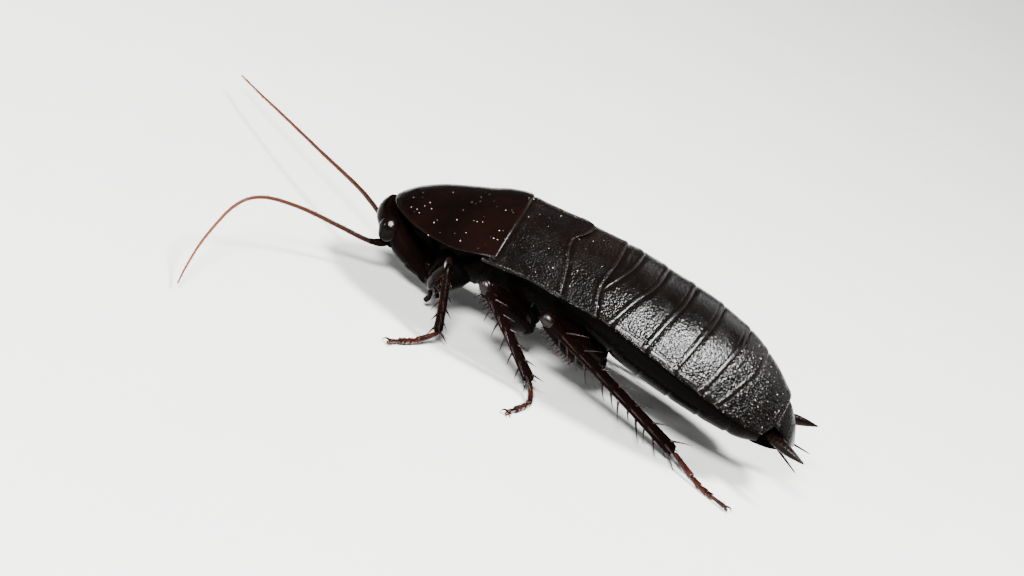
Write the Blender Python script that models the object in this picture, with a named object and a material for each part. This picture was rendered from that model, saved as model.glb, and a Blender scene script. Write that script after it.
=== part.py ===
"""A short-winged woods cockroach, life size, standing still.

Blender 4.5 script, metres, +Z up. Run it with blender --background --python part.py.
The sizes below are in millimetres. The head looks along -X and the animal's left side is -Y.
X counts from the front of the head and Z from the floor; at the end the whole animal is moved
so that the origin lies on the floor under the middle of its box.
"""
import math
import random

import bmesh
import bpy
from mathutils import Vector

MM = 0.001
GAP = 0.3

# Stations along the body: X, half width, height of the side margin, rise of the back over it.
BODY = (
    (0.6, 1.2, 6.25, 0.12),
    (1.7, 3.0, 6.33, 1.12),
    (3.7, 5.4, 6.5, 2.24),
    (6.5, 6.9, 6.98, 3.05),
    (8.0, 7.1, 7.5, 3.28),
    (9.4, 7.25, 7.88, 3.3),
    (9.95, 7.35, 7.66, 3.53),
    (11.5, 7.55, 7.9, 3.33),
    (15.0, 7.85, 8.08, 3.3),
    (18.5, 8.05, 8.15, 3.35),
    (22.0, 8.1, 7.75, 3.6),
    (26.0, 7.75, 7.05, 4.05),
    (29.0, 6.95, 6.35, 4.15),
    (31.6, 5.7, 5.7, 3.7),
    (33.9, 3.7, 5.2, 2.65),
    (36.2, 0.9, 4.8, 0.6),
)
RIM = 0.5

# The shield over the head: front point, length of its rounded front, half width.
SHIELD_FRONT = 0.6
SHIELD_CURVE = 8.6
SHIELD_HALF = 7.2

# Plates of the back, front to rear: name, and X of the hind margin at four places from the middle
# to the corner. REACH is the share of the half width at which a plate's side parts slide under
# the plate before it.
PLATES = (
    ("pronotum", (9.75, 9.72, 9.65, 9.55)),
    ("mesonotum", (14.9, 13.9, 14.5, 15.1)),
    ("metanotum", (17.7, 17.65, 17.42, 18.1)),
    ("tergite_1", (19.2, 18.8, 17.8, 16.4)),
    ("tergite_2", (21.35, 21.05, 20.2, 19.35)),
    ("tergite_3", (23.8, 23.6, 23.1, 22.55)),
    ("tergite_4", (26.4, 26.25, 25.85, 25.3)),
    ("tergite_5", (28.95, 28.9, 28.5, 27.8)),
    ("tergite_6", (31.0, 30.95, 30.4, 29.4)),
    ("tergite_7", (34.15, 34.15, 34.1, 33.4)),
)
# The four places, as squares of the share of the half width.
MARGIN_PLACES = (0.0, 0.16, 0.5, 1.0)
REACH = {"tergite_1": 0.66}
SHORTEST_MARGIN = 0.15
PLATE_COLUMNS = 18
PLATE_ROWS = 3
PLATE_STEP = 0.2
KEEL = 0.22

# The underside: X, half width, lowest point.
THORAX = (
    (5.0, 2.5, 3.9),
    (6.0, 3.3, 3.2),
    (10.0, 5.2, 3.5),
    (14.0, 5.8, 3.9),
    (17.5, 6.2, 4.3),
)
BELLY = (
    (17.8, 6.6, 4.55),
    (22.0, 7.5, 4.1),
    (26.0, 7.1, 3.6),
    (29.0, 6.3, 3.4),
    (31.6, 5.0, 3.3),
    (33.1, 3.7, 3.5),
)
BELLY_SEAMS = (20.2, 22.9, 25.6, 28.2, 30.8)
SEAM_STEP = 0.16

# The tail plates: X, half width, top, underside.
SUPRA_ANAL = (
    (34.45, 3.0, 7.1, 4.6),
    (35.0, 2.75, 6.4, 4.4),
    (35.4, 2.4, 5.9, 4.3),
    (35.75, 1.9, 5.4, 4.2),
    (36.05, 1.2, 4.95, 4.2),
)
SUBGENITAL = (
    (33.4, 2.9, 4.35, 3.6),
    (34.5, 2.4, 4.3, 3.65),
    (35.4, 1.4, 4.1, 3.8),
)
CERCI = {
    "left": ((33.9, -2.3, 4.9), (35.4, -3.2, 4.85), (37.2, -4.0, 4.75)),
    "right": ((33.9, 2.3, 5.1), (35.4, 3.0, 5.25), (37.35, 3.85, 5.42)),
}
CERCUS_RADII = (0.4, 0.44, 0.42, 0.3, 0.1)
STYLI = {
    "left": ((34.9, -1.0, 4.05), (37.2, -2.0, 3.15)),
    "right": ((34.9, 1.0, 4.1), (37.8, 2.05, 3.75)),
}
STYLUS_RADII = (0.25, 0.22, 0.12)

# The head: crown, mouth end, and rings along the line between: share, half width, front, back.
CROWN = Vector((1.15, 0.0, 5.09))
MOUTH = Vector((5.29, 0.0, 1.99))
HEAD_RINGS = (
    (-0.22, 0.9, 0.6, 0.1),
    (-0.16, 1.7, 1.12, 0.3),
    (-0.04, 2.35, 1.53, 0.55),
    (0.15, 2.65, 1.66, 0.85),
    (0.35, 2.45, 1.57, 1.0),
    (0.55, 2.25, 1.49, 1.1),
    (0.75, 1.8, 1.27, 1.05),
    (0.9, 1.5, 0.98, 0.8),
    (1.0, 1.25, 0.7, 0.5),
)
HEAD_SIDES = 16
EYE_CENTRE = Vector((1.51, 2.27, 4.48))
EYE_RADII = (0.82, 0.7, 1.05)
NECK = ((2.4, 0.0, 4.5), (5.2, 0.0, 5.0))
NECK_RADIUS = 1.1

# The mouthparts hang on the mouth end: a lip and two pairs of jointed feelers.
LIP = ((5.0, 0.0, 2.2), (5.7, 0.0, 1.8), (6.4, 0.0, 1.6))
LIP_RADII = (0.85, 0.7, 0.4)
PALPS = (
    ((5.4, 0.8, 1.95), (6.1, 1.65, 1.7), (6.4, 1.95, 1.15), (5.8, 1.95, 0.75)),
    ((6.0, 0.4, 1.6), (6.8, 0.85, 1.25), (7.1, 0.95, 0.95)),
)
PALP_RADII = (0.3, 0.26, 0.28, 0.2)

# The feelers, from socket to tip, where they are parted, and their thickness along them.
ANTENNAE = {
    "left": ((2.0, -1.35, 3.2), (1.2, -1.95, 2.82), (0.2, -2.8, 2.78), (-1.9, -5.0, 3.4), (-4.9, -9.0, 4.5),
             (-7.4, -13.0, 5.1), (-8.65, -16.0, 4.5), (-9.15, -20.0, 2.7), (-9.1, -23.0, 1.3),
             (-8.9, -25.2, 0.6)),
    "right": ((2.0, 1.35, 3.2), (1.0, 1.75, 3.1), (-0.35, 2.4, 3.6), (-2.55, 5.0, 3.6), (-6.75, 9.5, 3.2),
              (-11.35, 15.0, 2.6), (-13.7, 18.0, 2.2), (-16.0, 21.0, 1.85)),
}
ANTENNA_CUTS = {"left": (0.07, 0.3, 0.52, 0.76), "right": (0.07, 0.4, 0.7)}
ANTENNA_RADII = (0.4, 0.3, 0.27, 0.24, 0.15)
SCAPE_RADII = (0.36, 0.46, 0.34)

# The legs: coxa root, coxa end, knee, ankle, bend of the tarsus, tip of the tarsus.
LEGS = {
    "fore_left": ((7.5, -2.5, 4.9), (6.2, -3.2, 2.5), (6.69, -6.5, 5.5), (8.5, -8.4, 1.0),
                  (7.2, -10.6, 0.3), (5.8, -13.0, 0.3)),
    "fore_right": ((7.4, 2.5, 4.9), (5.9, 3.2, 2.5), (4.6, 6.6, 5.2), (4.4, 9.4, 1.0),
                   (2.6, 11.0, 0.3), (0.2, 12.6, 0.3)),
    "mid_left": ((12.4, -2.8, 4.9), (14.2, -2.6, 3.0), (9.9, -8.4, 6.0), (16.3, -7.7, 1.0),
                 (16.9, -10.0, 0.3), (15.85, -13.8, 0.3)),
    "mid_right": ((12.6, 2.8, 4.9), (14.4, 2.6, 3.0), (12.2, 8.7, 6.0), (18.0, 10.0, 1.0),
                  (18.9, 12.2, 0.3), (19.3, 15.8, 0.3)),
    "hind_left": ((17.4, -3.0, 4.9), (20.2, -2.6, 3.2), (15.1, -7.2, 5.8), (28.3, -5.5, 1.0),
                  (31.2, -7.4, 0.3), (33.4, -8.5, 0.3)),
    "hind_right": ((17.4, 3.0, 4.9), (20.2, 2.6, 3.2), (17.3, 8.6, 5.8), (29.4, 9.2, 1.0),
                   (31.6, 11.0, 0.3), (34.4, 12.6, 0.3)),
}
LEG_SIZE = {"fore": 0.85, "mid": 1.0, "hind": 1.12}
COXA_SIZE = {"fore": 1.0, "mid": 1.05, "hind": 1.12}
COXA_RADII = (1.6, 1.65, 1.3, 0.8)
FEMUR_RADII = (0.55, 1.0, 1.1, 0.95, 0.6)
TIBIA_RADII = (0.42, 0.5, 0.46, 0.46, 0.5)
FEMUR_SOCKET = 0.2
COXA_FLAT = 0.75
FEMUR_FLAT = 0.62
TARSUS_RADIUS = 0.34
TARSUS_WAIST = 0.82
TARSUS_PARTS = 5
FLAT_UNDER = 0.08

# Spines: rows round the shin in degrees from its upper side, how many in a row, and their size.
SPINE_ROWS = {"fore": (90, -90), "mid": (90, -80, 180), "hind": (80, -95, 145, -150)}
SPINES_IN_ROW = {"fore": 3, "mid": 4, "hind": 4}
SPINE_LENGTH = {"fore": 0.9, "mid": 1.0, "hind": 1.4}
SPINE_RADIUS = 0.2
SPINE_LEAN = 0.9
SPINE_VARIES = 0.15
SPINE_FLOOR = 0.2
FEMUR_SPINES = 3
FEMUR_SPINE_FIRST = 0.45
FEMUR_SPINE_STEP = 0.16
FEMUR_SPINE_LENGTH = 0.8
CLAW_LENGTH = 0.55
CLAW_RADIUS = 0.2
CLAW_SPREAD = 0.45
CLAW_ROOT = 0.35
CLAW_TIP_HEIGHT = 0.12


def smooth(table, x, column):
    """A value read from a table of stations, on a smooth curve that doesn't overshoot."""
    rows = [(row[0], row[column]) for row in table]
    if x <= rows[0][0]:
        return rows[0][1]
    if x >= rows[-1][0]:
        return rows[-1][1]
    slopes = [(b[1] - a[1]) / (b[0] - a[0]) for a, b in zip(rows, rows[1:])]
    tangents = [slopes[0]]
    for before, after in zip(slopes, slopes[1:]):
        same_way = before * after > 0
        tangents.append(2 * before * after / (before + after) if same_way else 0.0)
    tangents.append(slopes[-1])
    index = max(i for i in range(len(rows) - 1) if rows[i][0] <= x)
    start, end = rows[index], rows[index + 1]
    span = end[0] - start[0]
    t = (x - start[0]) / span
    rise = (end[1] - start[1]) * (3 * t * t - 2 * t ** 3)
    leave = tangents[index] * span * (t ** 3 - 2 * t * t + t)
    arrive = tangents[index + 1] * span * (t ** 3 - t * t)
    return start[1] + rise + leave + arrive


def margin(x):
    return smooth(BODY, x, 2)


def half_width(x):
    if x >= SHIELD_FRONT + SHIELD_CURVE:
        return smooth(BODY, x, 1)
    share = (SHIELD_FRONT + SHIELD_CURVE - x) / SHIELD_CURVE
    return SHIELD_HALF * math.sqrt(max(0.0, 1 - share * share))


def spread(values, count):
    """Evenly spread values along a short list, with straight lines between its own."""
    result = []
    for step in range(count):
        place = step / (count - 1) * (len(values) - 1)
        index = min(int(place), len(values) - 2)
        part = place - index
        result.append(values[index] * (1 - part) + values[index + 1] * part)
    return result


def material(name, colour, roughness):
    made = bpy.data.materials.new(name)
    made.use_nodes = True
    shader = made.node_tree.nodes["Principled BSDF"]
    shader.inputs["Base Color"].default_value = (*colour, 1.0)
    shader.inputs["Roughness"].default_value = roughness
    shader.inputs["Metallic"].default_value = 0.0
    made.diffuse_color = (*colour, 1.0)
    return made


def tidy_mesh(mesh):
    """Weld doubles, split every face into triangles and turn them all outward."""
    work = bmesh.new()
    work.from_mesh(mesh)
    bmesh.ops.remove_doubles(work, verts=work.verts, dist=0.002 * MM)
    bmesh.ops.dissolve_degenerate(work, edges=work.edges, dist=0.002 * MM)
    bmesh.ops.triangulate(work, faces=work.faces)
    bmesh.ops.recalc_face_normals(work, faces=work.faces)
    if work.calc_volume(signed=True) < 0:
        bmesh.ops.reverse_faces(work, faces=work.faces)
    work.to_mesh(mesh)
    work.free()


def node(name, shape, finish):
    """An object from points in millimetres and faces."""
    points, faces = shape
    mesh = bpy.data.meshes.new(name)
    mesh.from_pydata([tuple(c * MM for c in point) for point in points], [], faces)
    mesh.materials.append(finish)
    tidy_mesh(mesh)
    made = bpy.data.objects.new(name, mesh)
    bpy.context.scene.collection.objects.link(made)
    return made


def loft(rings, hubs=True):
    """A skin over rings that have the same number of points, with its two ends closed."""
    count = len(rings[0])
    points = [tuple(point) for ring in rings for point in ring]
    faces = []
    for row in range(len(rings) - 1):
        for i in range(count):
            j = (i + 1) % count
            faces.append((row * count + i, row * count + j, (row + 1) * count + j, (row + 1) * count + i))
    for ring, start in ((rings[0], 0), (rings[-1], (len(rings) - 1) * count)):
        if hubs:
            points.append(tuple(sum((Vector(point) for point in ring), Vector()) / count))
            hub = len(points) - 1
            faces += [(start + i, start + (i + 1) % count, hub) for i in range(count)]
        else:
            faces += [(start + i, start + i + 1, start + count - 2 - i, start + count - 1 - i)
                      for i in range(count // 2 - 1)]
    return points, faces


def smooth_route(knots, count):
    """Evenly spaced points on a smooth curve through the knots."""
    knots = [Vector(knot) for knot in knots]
    padded = [2 * knots[0] - knots[1]] + knots + [2 * knots[-1] - knots[-2]]
    fine = []
    for a, b, c, d in zip(padded, padded[1:], padded[2:], padded[3:]):
        for step in range(12):
            t = step / 12
            fine.append(0.5 * ((2 * b) + (c - a) * t + (2 * a - 5 * b + 4 * c - d) * t * t
                               + (3 * b - a - 3 * c + d) * t ** 3))
    fine.append(knots[-1])
    gone = [0.0]
    for a, b in zip(fine, fine[1:]):
        gone.append(gone[-1] + (b - a).length)
    spaced = []
    for step in range(count):
        wanted = gone[-1] * step / (count - 1)
        index = min(max(i for i in range(len(gone)) if gone[i] <= wanted + 1e-9), len(fine) - 2)
        part = (wanted - gone[index]) / (gone[index + 1] - gone[index])
        spaced.append(fine[index].lerp(fine[index + 1], part))
    return spaced


def tube(route, radii, sides, flatten=1.0):
    """A tube along a route, with a radius at each point, squeezed sideways by flatten."""
    rings = []
    for index, point in enumerate(route):
        ahead = (route[min(index + 1, len(route) - 1)] - route[max(index - 1, 0)]).normalized()
        side = ahead.cross(Vector((0, 0, 1))).normalized()
        over = side.cross(ahead)
        angles = [2 * math.pi * (step + 0.5) / sides for step in range(sides)]
        rings.append([point + (side * math.cos(angle) * flatten + over * math.sin(angle)) * radii[index]
                      for angle in angles])
    return loft(rings)


def limb(knots, radii, sides, count, flatten=1.0):
    return tube(smooth_route(knots, count), spread(radii, count), sides, flatten)


def cone(root, tip, radius, sides=4):
    """One tapered spine."""
    ahead = (tip - root).normalized()
    side = ahead.orthogonal().normalized()
    over = ahead.cross(side)
    angles = [2 * math.pi * step / sides for step in range(sides)]
    points = [root + (side * math.cos(angle) + over * math.sin(angle)) * radius for angle in angles]
    faces = [(i, (i + 1) % sides, sides) for i in range(sides)] + [tuple(range(sides))]
    return points + [tip], faces


def ellipsoid(centre, radii, rings=8, sides=12):
    rows = []
    for row in range(1, rings):
        lift = math.pi * (row / rings - 0.5)
        rows.append([centre + Vector((radii[0] * math.cos(lift) * math.cos(turn),
                                      radii[1] * math.cos(lift) * math.sin(turn),
                                      radii[2] * math.sin(lift)))
                     for turn in [2 * math.pi * step / sides for step in range(sides)]])
    return loft(rows)


def keep_largest(mesh):
    """Leave only the largest closed surface."""
    work = bmesh.new()
    work.from_mesh(mesh)
    left = set(work.faces)
    shells = []
    while left:
        shell = []
        front = [left.pop()]
        while front:
            face = front.pop()
            shell.append(face)
            joined = {other for edge in face.edges for other in edge.link_faces if other in left}
            front += joined
            left -= joined
        shells.append(shell)
    largest = max(shells, key=lambda shell: sum(face.calc_area() for face in shell))
    scraps = [face for shell in shells if shell is not largest for face in shell]
    bmesh.ops.delete(work, geom=scraps, context="FACES")
    work.to_mesh(mesh)
    work.free()


def boolean(target, tools, operation):
    """One exact Boolean of the target with several closed meshes, applied; the tools are removed."""
    group = bpy.data.collections.new("tools")
    bpy.context.scene.collection.children.link(group)
    for tool in tools:
        bpy.context.scene.collection.objects.unlink(tool)
        group.objects.link(tool)
    modifier = target.modifiers.new("join", "BOOLEAN")
    modifier.operation = operation
    modifier.solver = "EXACT"
    modifier.operand_type = "COLLECTION"
    modifier.collection = group
    evaluated = target.evaluated_get(bpy.context.evaluated_depsgraph_get())
    mesh = bpy.data.meshes.new_from_object(evaluated)
    target.modifiers.clear()
    target.data = mesh
    for tool in tools:
        bpy.data.objects.remove(tool)
    bpy.data.collections.remove(group)
    tidy_mesh(mesh)
    keep_largest(mesh)


def swollen(obj):
    """A copy of an object grown by the gap on every side."""
    copy = bpy.data.objects.new("room", obj.data.copy())
    bpy.context.scene.collection.objects.link(copy)
    work = bmesh.new()
    work.from_mesh(copy.data)
    work.normal_update()
    moves = [(vertex, vertex.normal * min(2.0, vertex.calc_shell_factor())) for vertex in work.verts]
    for vertex, move in moves:
        vertex.co += move * GAP * MM
    work.to_mesh(copy.data)
    work.free()
    return copy


def cut_clear(obj, *neighbours):
    """Cut an object back so that it meets its neighbours face to face across the gap."""
    boolean(obj, [swollen(neighbour) for neighbour in neighbours], "DIFFERENCE")


def fuse(obj, shapes):
    """Join pieces to the object that they are rooted in."""
    boolean(obj, [node("piece", shape, obj.data.materials[0]) for shape in shapes], "UNION")


def hind_edge(index, s):
    """X of a plate's hind margin, where s runs from -1 at the left corner to 1 at the right."""
    return smooth(tuple(zip(MARGIN_PLACES, PLATES[index][1])), s * s, 1)


def front_edge(index, s):
    """X of a plate's front margin, across the gap from whichever plate before it ends last."""
    if index:
        return max(hind_edge(before, s) for before in range(index)) + GAP
    return SHIELD_FRONT + SHIELD_CURVE * (1 - math.sqrt(max(0.0, 1 - s * s)))


def back_height(x, y, lift):
    """Height of the back at a place, with a plate's own lift fading out at the side margin."""
    across = min(1.0, abs(y) / max(half_width(x), RIM))
    return margin(x) + smooth(BODY, x, 3) * (1 - across ** 2) + lift * (1 - across ** 6)


def plate(index, finish):
    """One plate of the back: domed above, flat below, its hind edge a step over the next one."""
    name = PLATES[index][0]
    columns = [(2 * i / PLATE_COLUMNS - 1) * REACH.get(name, 1.0) for i in range(PLATE_COLUMNS + 1)]
    if index == 0:
        columns = [math.sin(0.5 * math.pi * s) for s in columns]
    rows = PLATE_ROWS * 2 if index == 0 else PLATE_ROWS
    rings = []
    for row in range(rows + 1):
        u = row / rows
        upper = []
        lower = []
        for s in columns:
            end = hind_edge(index, s)
            start = min(front_edge(index, s), end - SHORTEST_MARGIN)
            x = start + (end - start) * u
            y = s * (SHIELD_HALF if index == 0 else half_width(x))
            keel = KEEL if name == "mesonotum" and s == 0 else 0.0
            upper.append((x, y, back_height(x, y, PLATE_STEP * (u - 0.5) + keel)))
            lower.append((x, y, margin(x) - RIM))
        rings.append(upper + lower[::-1])
    return node(name, loft(rings, hubs=False), finish)


def under_ring(x, half, low, sides=14):
    """A ring of the underside: round below, flat above, just under the plates."""
    top = margin(x) - RIM - GAP
    turns = [math.pi * step / sides for step in range(sides + 1)]
    return [(x, half * math.cos(turn), top - (top - low) * math.sin(turn) ** 0.8) for turn in turns]


def underside(name, table, seams, finish):
    """The underside of the thorax or the belly, stepped at its seams."""
    stations = sorted([row[0] for row in table] + [seam + side for seam in seams for side in (-0.1, 0.1)])
    rings = []
    for x in stations:
        step = SEAM_STEP if any(abs(x - seam - 0.1) < 0.01 for seam in seams) else 0.0
        rings.append(under_ring(x, smooth(table, x, 1) - step, smooth(table, x, 2) + step))
    return node(name, loft(rings), finish)


def tail_plate(name, table, finish, sides=8):
    """A small plate at the tail: rounded above and below."""
    rings = []
    for x, half, top, low in table:
        turns = [2 * math.pi * step / (2 * sides) for step in range(2 * sides)]
        middle = (top + low) / 2
        depth = (top - low) / 2
        rings.append([(x, half * math.cos(turn), middle + depth * math.sin(turn)) for turn in turns])
    return node(name, loft(rings), finish)


def head_shape():
    ahead = (MOUTH - CROWN).normalized()
    face = Vector((0, 1, 0)).cross(ahead).normalized()
    if face.x > 0:
        face = -face
    rings = []
    for share, half, front, back in HEAD_RINGS:
        centre = CROWN.lerp(MOUTH, share)
        ring = []
        for step in range(HEAD_SIDES):
            turn = 2 * math.pi * step / HEAD_SIDES
            depth = front if math.sin(turn) > 0 else back
            ring.append(centre + Vector((0, half * math.cos(turn), 0)) + face * depth * math.sin(turn))
        rings.append(ring)
    return loft(rings)


def mirrored(point, side):
    return Vector((point[0], point[1] * side, point[2]))


def build_head(shield, thorax, finish, eye_finish, pale_finish):
    head = node("head", head_shape(), finish)
    mouth = node("mouthparts", limb(LIP, LIP_RADII, 8, 4, 1.2), finish)
    fuse(mouth, [limb([mirrored(knot, side) for knot in palp], PALP_RADII, 5, 7)
                 for palp in PALPS for side in (-1, 1)])
    cut_clear(mouth, head)
    for side, knots in ANTENNAE.items():
        build_antenna(side, knots, head, pale_finish)
    neck = node("neck", limb(NECK, (NECK_RADIUS, NECK_RADIUS), 10, 4), finish)
    cut_clear(neck, head, thorax)
    eyes = [node(name, ellipsoid(mirrored(EYE_CENTRE, side), EYE_RADII), eye_finish)
            for name, side in (("eye_left", -1), ("eye_right", 1))]
    cut_clear(head, shield, *eyes)


def build_antenna(side, knots, head, finish):
    """One feeler, parted into nearly straight lengths that meet across the gap."""
    route = smooth_route(knots, 121)
    length = sum((b - a).length for a, b in zip(route, route[1:]))
    margin_share = GAP / 2 / length
    cuts = (0.0,) + ANTENNA_CUTS[side] + (1.0,)
    for part, (start, end) in enumerate(zip(cuts, cuts[1:])):
        first = start + margin_share if part else start
        last = end - margin_share if end < 1 else end
        count = 4 if part == 0 else 9
        shares = spread((first, last), count)
        points = [along(route, share) for share in shares]
        if part:
            radii = [along_values(ANTENNA_RADII, share) for share in shares]
        else:
            radii = spread(SCAPE_RADII, count)
        name = f"antenna_{side}_{'scape' if part == 0 else part}"
        piece = node(name, tube(points, radii, 6), finish)
        if part == 0:
            cut_clear(piece, head)


def along(route, share):
    place = min(max(share, 0.0), 1.0) * (len(route) - 1)
    index = min(int(place), len(route) - 2)
    return route[index].lerp(route[index + 1], place - index)


def along_values(values, share):
    place = share * (len(values) - 1)
    index = min(int(place), len(values) - 2)
    return values[index] + (values[index + 1] - values[index]) * (place - index)


def rest_flat(obj):
    """Press the lowest points of an object onto the floor, as small flats at one level."""
    for vertex in obj.data.vertices:
        if vertex.co.z < FLAT_UNDER * MM:
            vertex.co.z = 0.0


def leg_axes(start, end, side):
    """Directions along a part of a leg, away from the body, and over it."""
    ahead = (end - start).normalized()
    out = ahead.cross(Vector((0, 0, 1))).normalized()
    if out.y * side < 0:
        out = -out
    over = out.cross(ahead).normalized()
    if over.z < 0:
        over = -over
    return ahead, out, over


def tibia_spines(kind, knee, ankle, side, radius, draw):
    """Rows of spines that lean toward the foot."""
    ahead, out, over = leg_axes(knee, ankle, side)
    count = SPINES_IN_ROW[kind]
    shapes = []
    for row, turn in enumerate(SPINE_ROWS[kind]):
        angle = math.radians(turn)
        away = out * math.sin(angle) + over * math.cos(angle)
        for step in range(count):
            share = (step + 0.9 + 0.4 * (row % 2)) / (count + 0.5)
            base = knee.lerp(ankle, share)
            length = radius + SPINE_LENGTH[kind] * draw.uniform(1 - SPINE_VARIES, 1 + SPINE_VARIES)
            lean = SPINE_LEAN * draw.uniform(1 - SPINE_VARIES, 1 + SPINE_VARIES)
            tip = base + (away + ahead * lean).normalized() * length * 1.2
            tip.z = max(tip.z, SPINE_FLOOR)
            shapes.append(cone(base, tip, SPINE_RADIUS))
    return shapes


def femur_spines(hip, knee, side, radius, draw):
    """A row of spines under the thigh."""
    ahead, out, over = leg_axes(hip, knee, side)
    shapes = []
    for step in range(FEMUR_SPINES):
        base = hip.lerp(knee, FEMUR_SPINE_FIRST + FEMUR_SPINE_STEP * step)
        length = radius + FEMUR_SPINE_LENGTH * draw.uniform(1 - SPINE_VARIES, 1 + SPINE_VARIES)
        shapes.append(cone(base, base - over * length + ahead * FEMUR_SPINE_LENGTH, SPINE_RADIUS))
    return shapes


def claws(bend, tip):
    """Two hooked claws at the end of a tarsus."""
    ahead = (tip - bend).normalized()
    out = ahead.cross(Vector((0, 0, 1))).normalized()
    shapes = []
    for way in (-1, 1):
        root = tip - ahead * CLAW_ROOT
        point = tip + ahead * CLAW_LENGTH + out * way * CLAW_SPREAD
        point.z = CLAW_TIP_HEIGHT
        shapes.append(cone(root, point, CLAW_RADIUS))
    return shapes


def build_leg(name, knots, body, finish, draw):
    """One leg in four nodes, each cut clear of the one before it."""
    kind, side_name = name.split("_")
    side = -1 if side_name == "left" else 1
    size = LEG_SIZE[kind]
    root, hip, knee, ankle, bend, tip = [Vector(knot) for knot in knots]
    coxa_radii = [radius * COXA_SIZE[kind] for radius in COXA_RADII]
    femur_radii = [radius * size for radius in FEMUR_RADII]
    tibia_radii = [radius * size for radius in TIBIA_RADII]
    coxa = node(f"{name}_coxa", limb((root, hip), coxa_radii, 10, 5, COXA_FLAT), finish["dark"])
    cut_clear(coxa, *body)
    start = hip - (knee - hip).normalized() * FEMUR_SOCKET
    femur = node(f"{name}_femur", limb((start, knee), femur_radii, 8, 7, FEMUR_FLAT), finish["dark"])
    cut_clear(femur, coxa, *body)
    tibia = node(f"{name}_tibia", limb((knee, ankle), tibia_radii, 6, 5), finish["dark"])
    cut_clear(tibia, femur)
    foot = smooth_route((ankle, bend, tip), 2 * TARSUS_PARTS + 1)
    swell = [TARSUS_RADIUS * (1.0 if step % 2 == 0 else TARSUS_WAIST) for step in range(len(foot))]
    tarsus = node(f"{name}_tarsus", tube(foot, swell, 6), finish["red"])
    cut_clear(tarsus, tibia)
    fuse(femur, femur_spines(hip, knee, side, femur_radii[2], draw))
    fuse(tibia, tibia_spines(kind, knee, ankle, side, tibia_radii[2], draw))
    fuse(tarsus, claws(bend, tip))
    rest_flat(tarsus)


def build_tail(belly, last_plate, finish):
    supra = tail_plate("supra_anal_plate", SUPRA_ANAL, finish["black"])
    sub = tail_plate("subgenital_plate", SUBGENITAL, finish["black"])
    cut_clear(supra, last_plate, sub)
    cut_clear(sub, belly)
    for side, knots in CERCI.items():
        cercus = node(f"cercus_{side}", limb(knots, CERCUS_RADII, 8, 9), finish["red"])
        cut_clear(cercus, belly, last_plate, supra, sub)
    for side, knots in STYLI.items():
        stylus = node(f"stylus_{side}", limb(knots, STYLUS_RADII, 6, 5), finish["red"])
        cut_clear(stylus, sub, supra)


def centre_on_origin():
    """Move the animal so that the origin is on the floor under the middle of its box."""
    meshes = [obj.data for obj in bpy.context.scene.objects]
    corners = [vertex.co for mesh in meshes for vertex in mesh.vertices]
    middle = [(min(c[axis] for c in corners) + max(c[axis] for c in corners)) / 2 for axis in (0, 1)]
    for mesh in meshes:
        for vertex in mesh.vertices:
            vertex.co.x -= middle[0]
            vertex.co.y -= middle[1]


def finishes():
    return {
        "black": material("glossy_black", (0.012, 0.008, 0.007), 0.25),
        "brown": material("brown_shield", (0.03, 0.011, 0.008), 0.25),
        "dark": material("dark_brown", (0.02, 0.009, 0.007), 0.3),
        "red": material("amber_red", (0.16, 0.035, 0.015), 0.35),
        "eye": material("eye_black", (0.008, 0.007, 0.008), 0.12),
        "feeler": material("feeler_brown", (0.2, 0.06, 0.02), 0.4),
    }


def main():
    for obj in list(bpy.data.objects):
        bpy.data.objects.remove(obj)
    draw = random.Random(7)
    finish = finishes()
    plates = [plate(0, finish["brown"])]
    plates += [plate(index, finish["black"]) for index in range(1, len(PLATES))]
    thorax = underside("thorax_underside", THORAX, (), finish["dark"])
    belly = underside("belly", BELLY, BELLY_SEAMS, finish["black"])
    build_head(plates[0], thorax, finish["dark"], finish["eye"], finish["feeler"])
    for name, knots in LEGS.items():
        build_leg(name, knots, (thorax, belly), finish, draw)
    build_tail(belly, plates[-1], finish)
    centre_on_origin()


main()
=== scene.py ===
"""The looks of a short-winged woods cockroach, life size, on a plain pale floor.

Blender 4.5 script. Shapes are worked out in millimetres in the animal's own frame: X counts from
the front of the head toward the tail, Y is 0 along the middle with the left side at -Y, and Z
counts from the floor. placed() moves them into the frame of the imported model.
"""
import math
import random

import bmesh
import bpy
from mathutils import Matrix, Vector


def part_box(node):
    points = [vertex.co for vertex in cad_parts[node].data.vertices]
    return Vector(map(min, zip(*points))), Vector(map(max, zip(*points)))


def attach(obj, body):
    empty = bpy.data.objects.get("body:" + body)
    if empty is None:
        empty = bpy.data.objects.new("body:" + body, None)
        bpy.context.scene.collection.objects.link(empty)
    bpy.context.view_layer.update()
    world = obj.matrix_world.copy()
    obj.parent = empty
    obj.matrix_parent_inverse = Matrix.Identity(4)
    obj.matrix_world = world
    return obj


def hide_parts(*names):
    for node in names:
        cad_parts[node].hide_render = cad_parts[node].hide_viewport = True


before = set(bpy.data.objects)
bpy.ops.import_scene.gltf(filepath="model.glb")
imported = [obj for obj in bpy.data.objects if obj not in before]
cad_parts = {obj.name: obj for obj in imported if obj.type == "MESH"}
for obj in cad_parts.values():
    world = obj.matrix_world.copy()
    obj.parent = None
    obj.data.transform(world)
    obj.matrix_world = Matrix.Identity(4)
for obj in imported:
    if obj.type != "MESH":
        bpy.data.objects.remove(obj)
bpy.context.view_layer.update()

MM = 0.001
UP = Vector((0, 0, 1))

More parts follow.
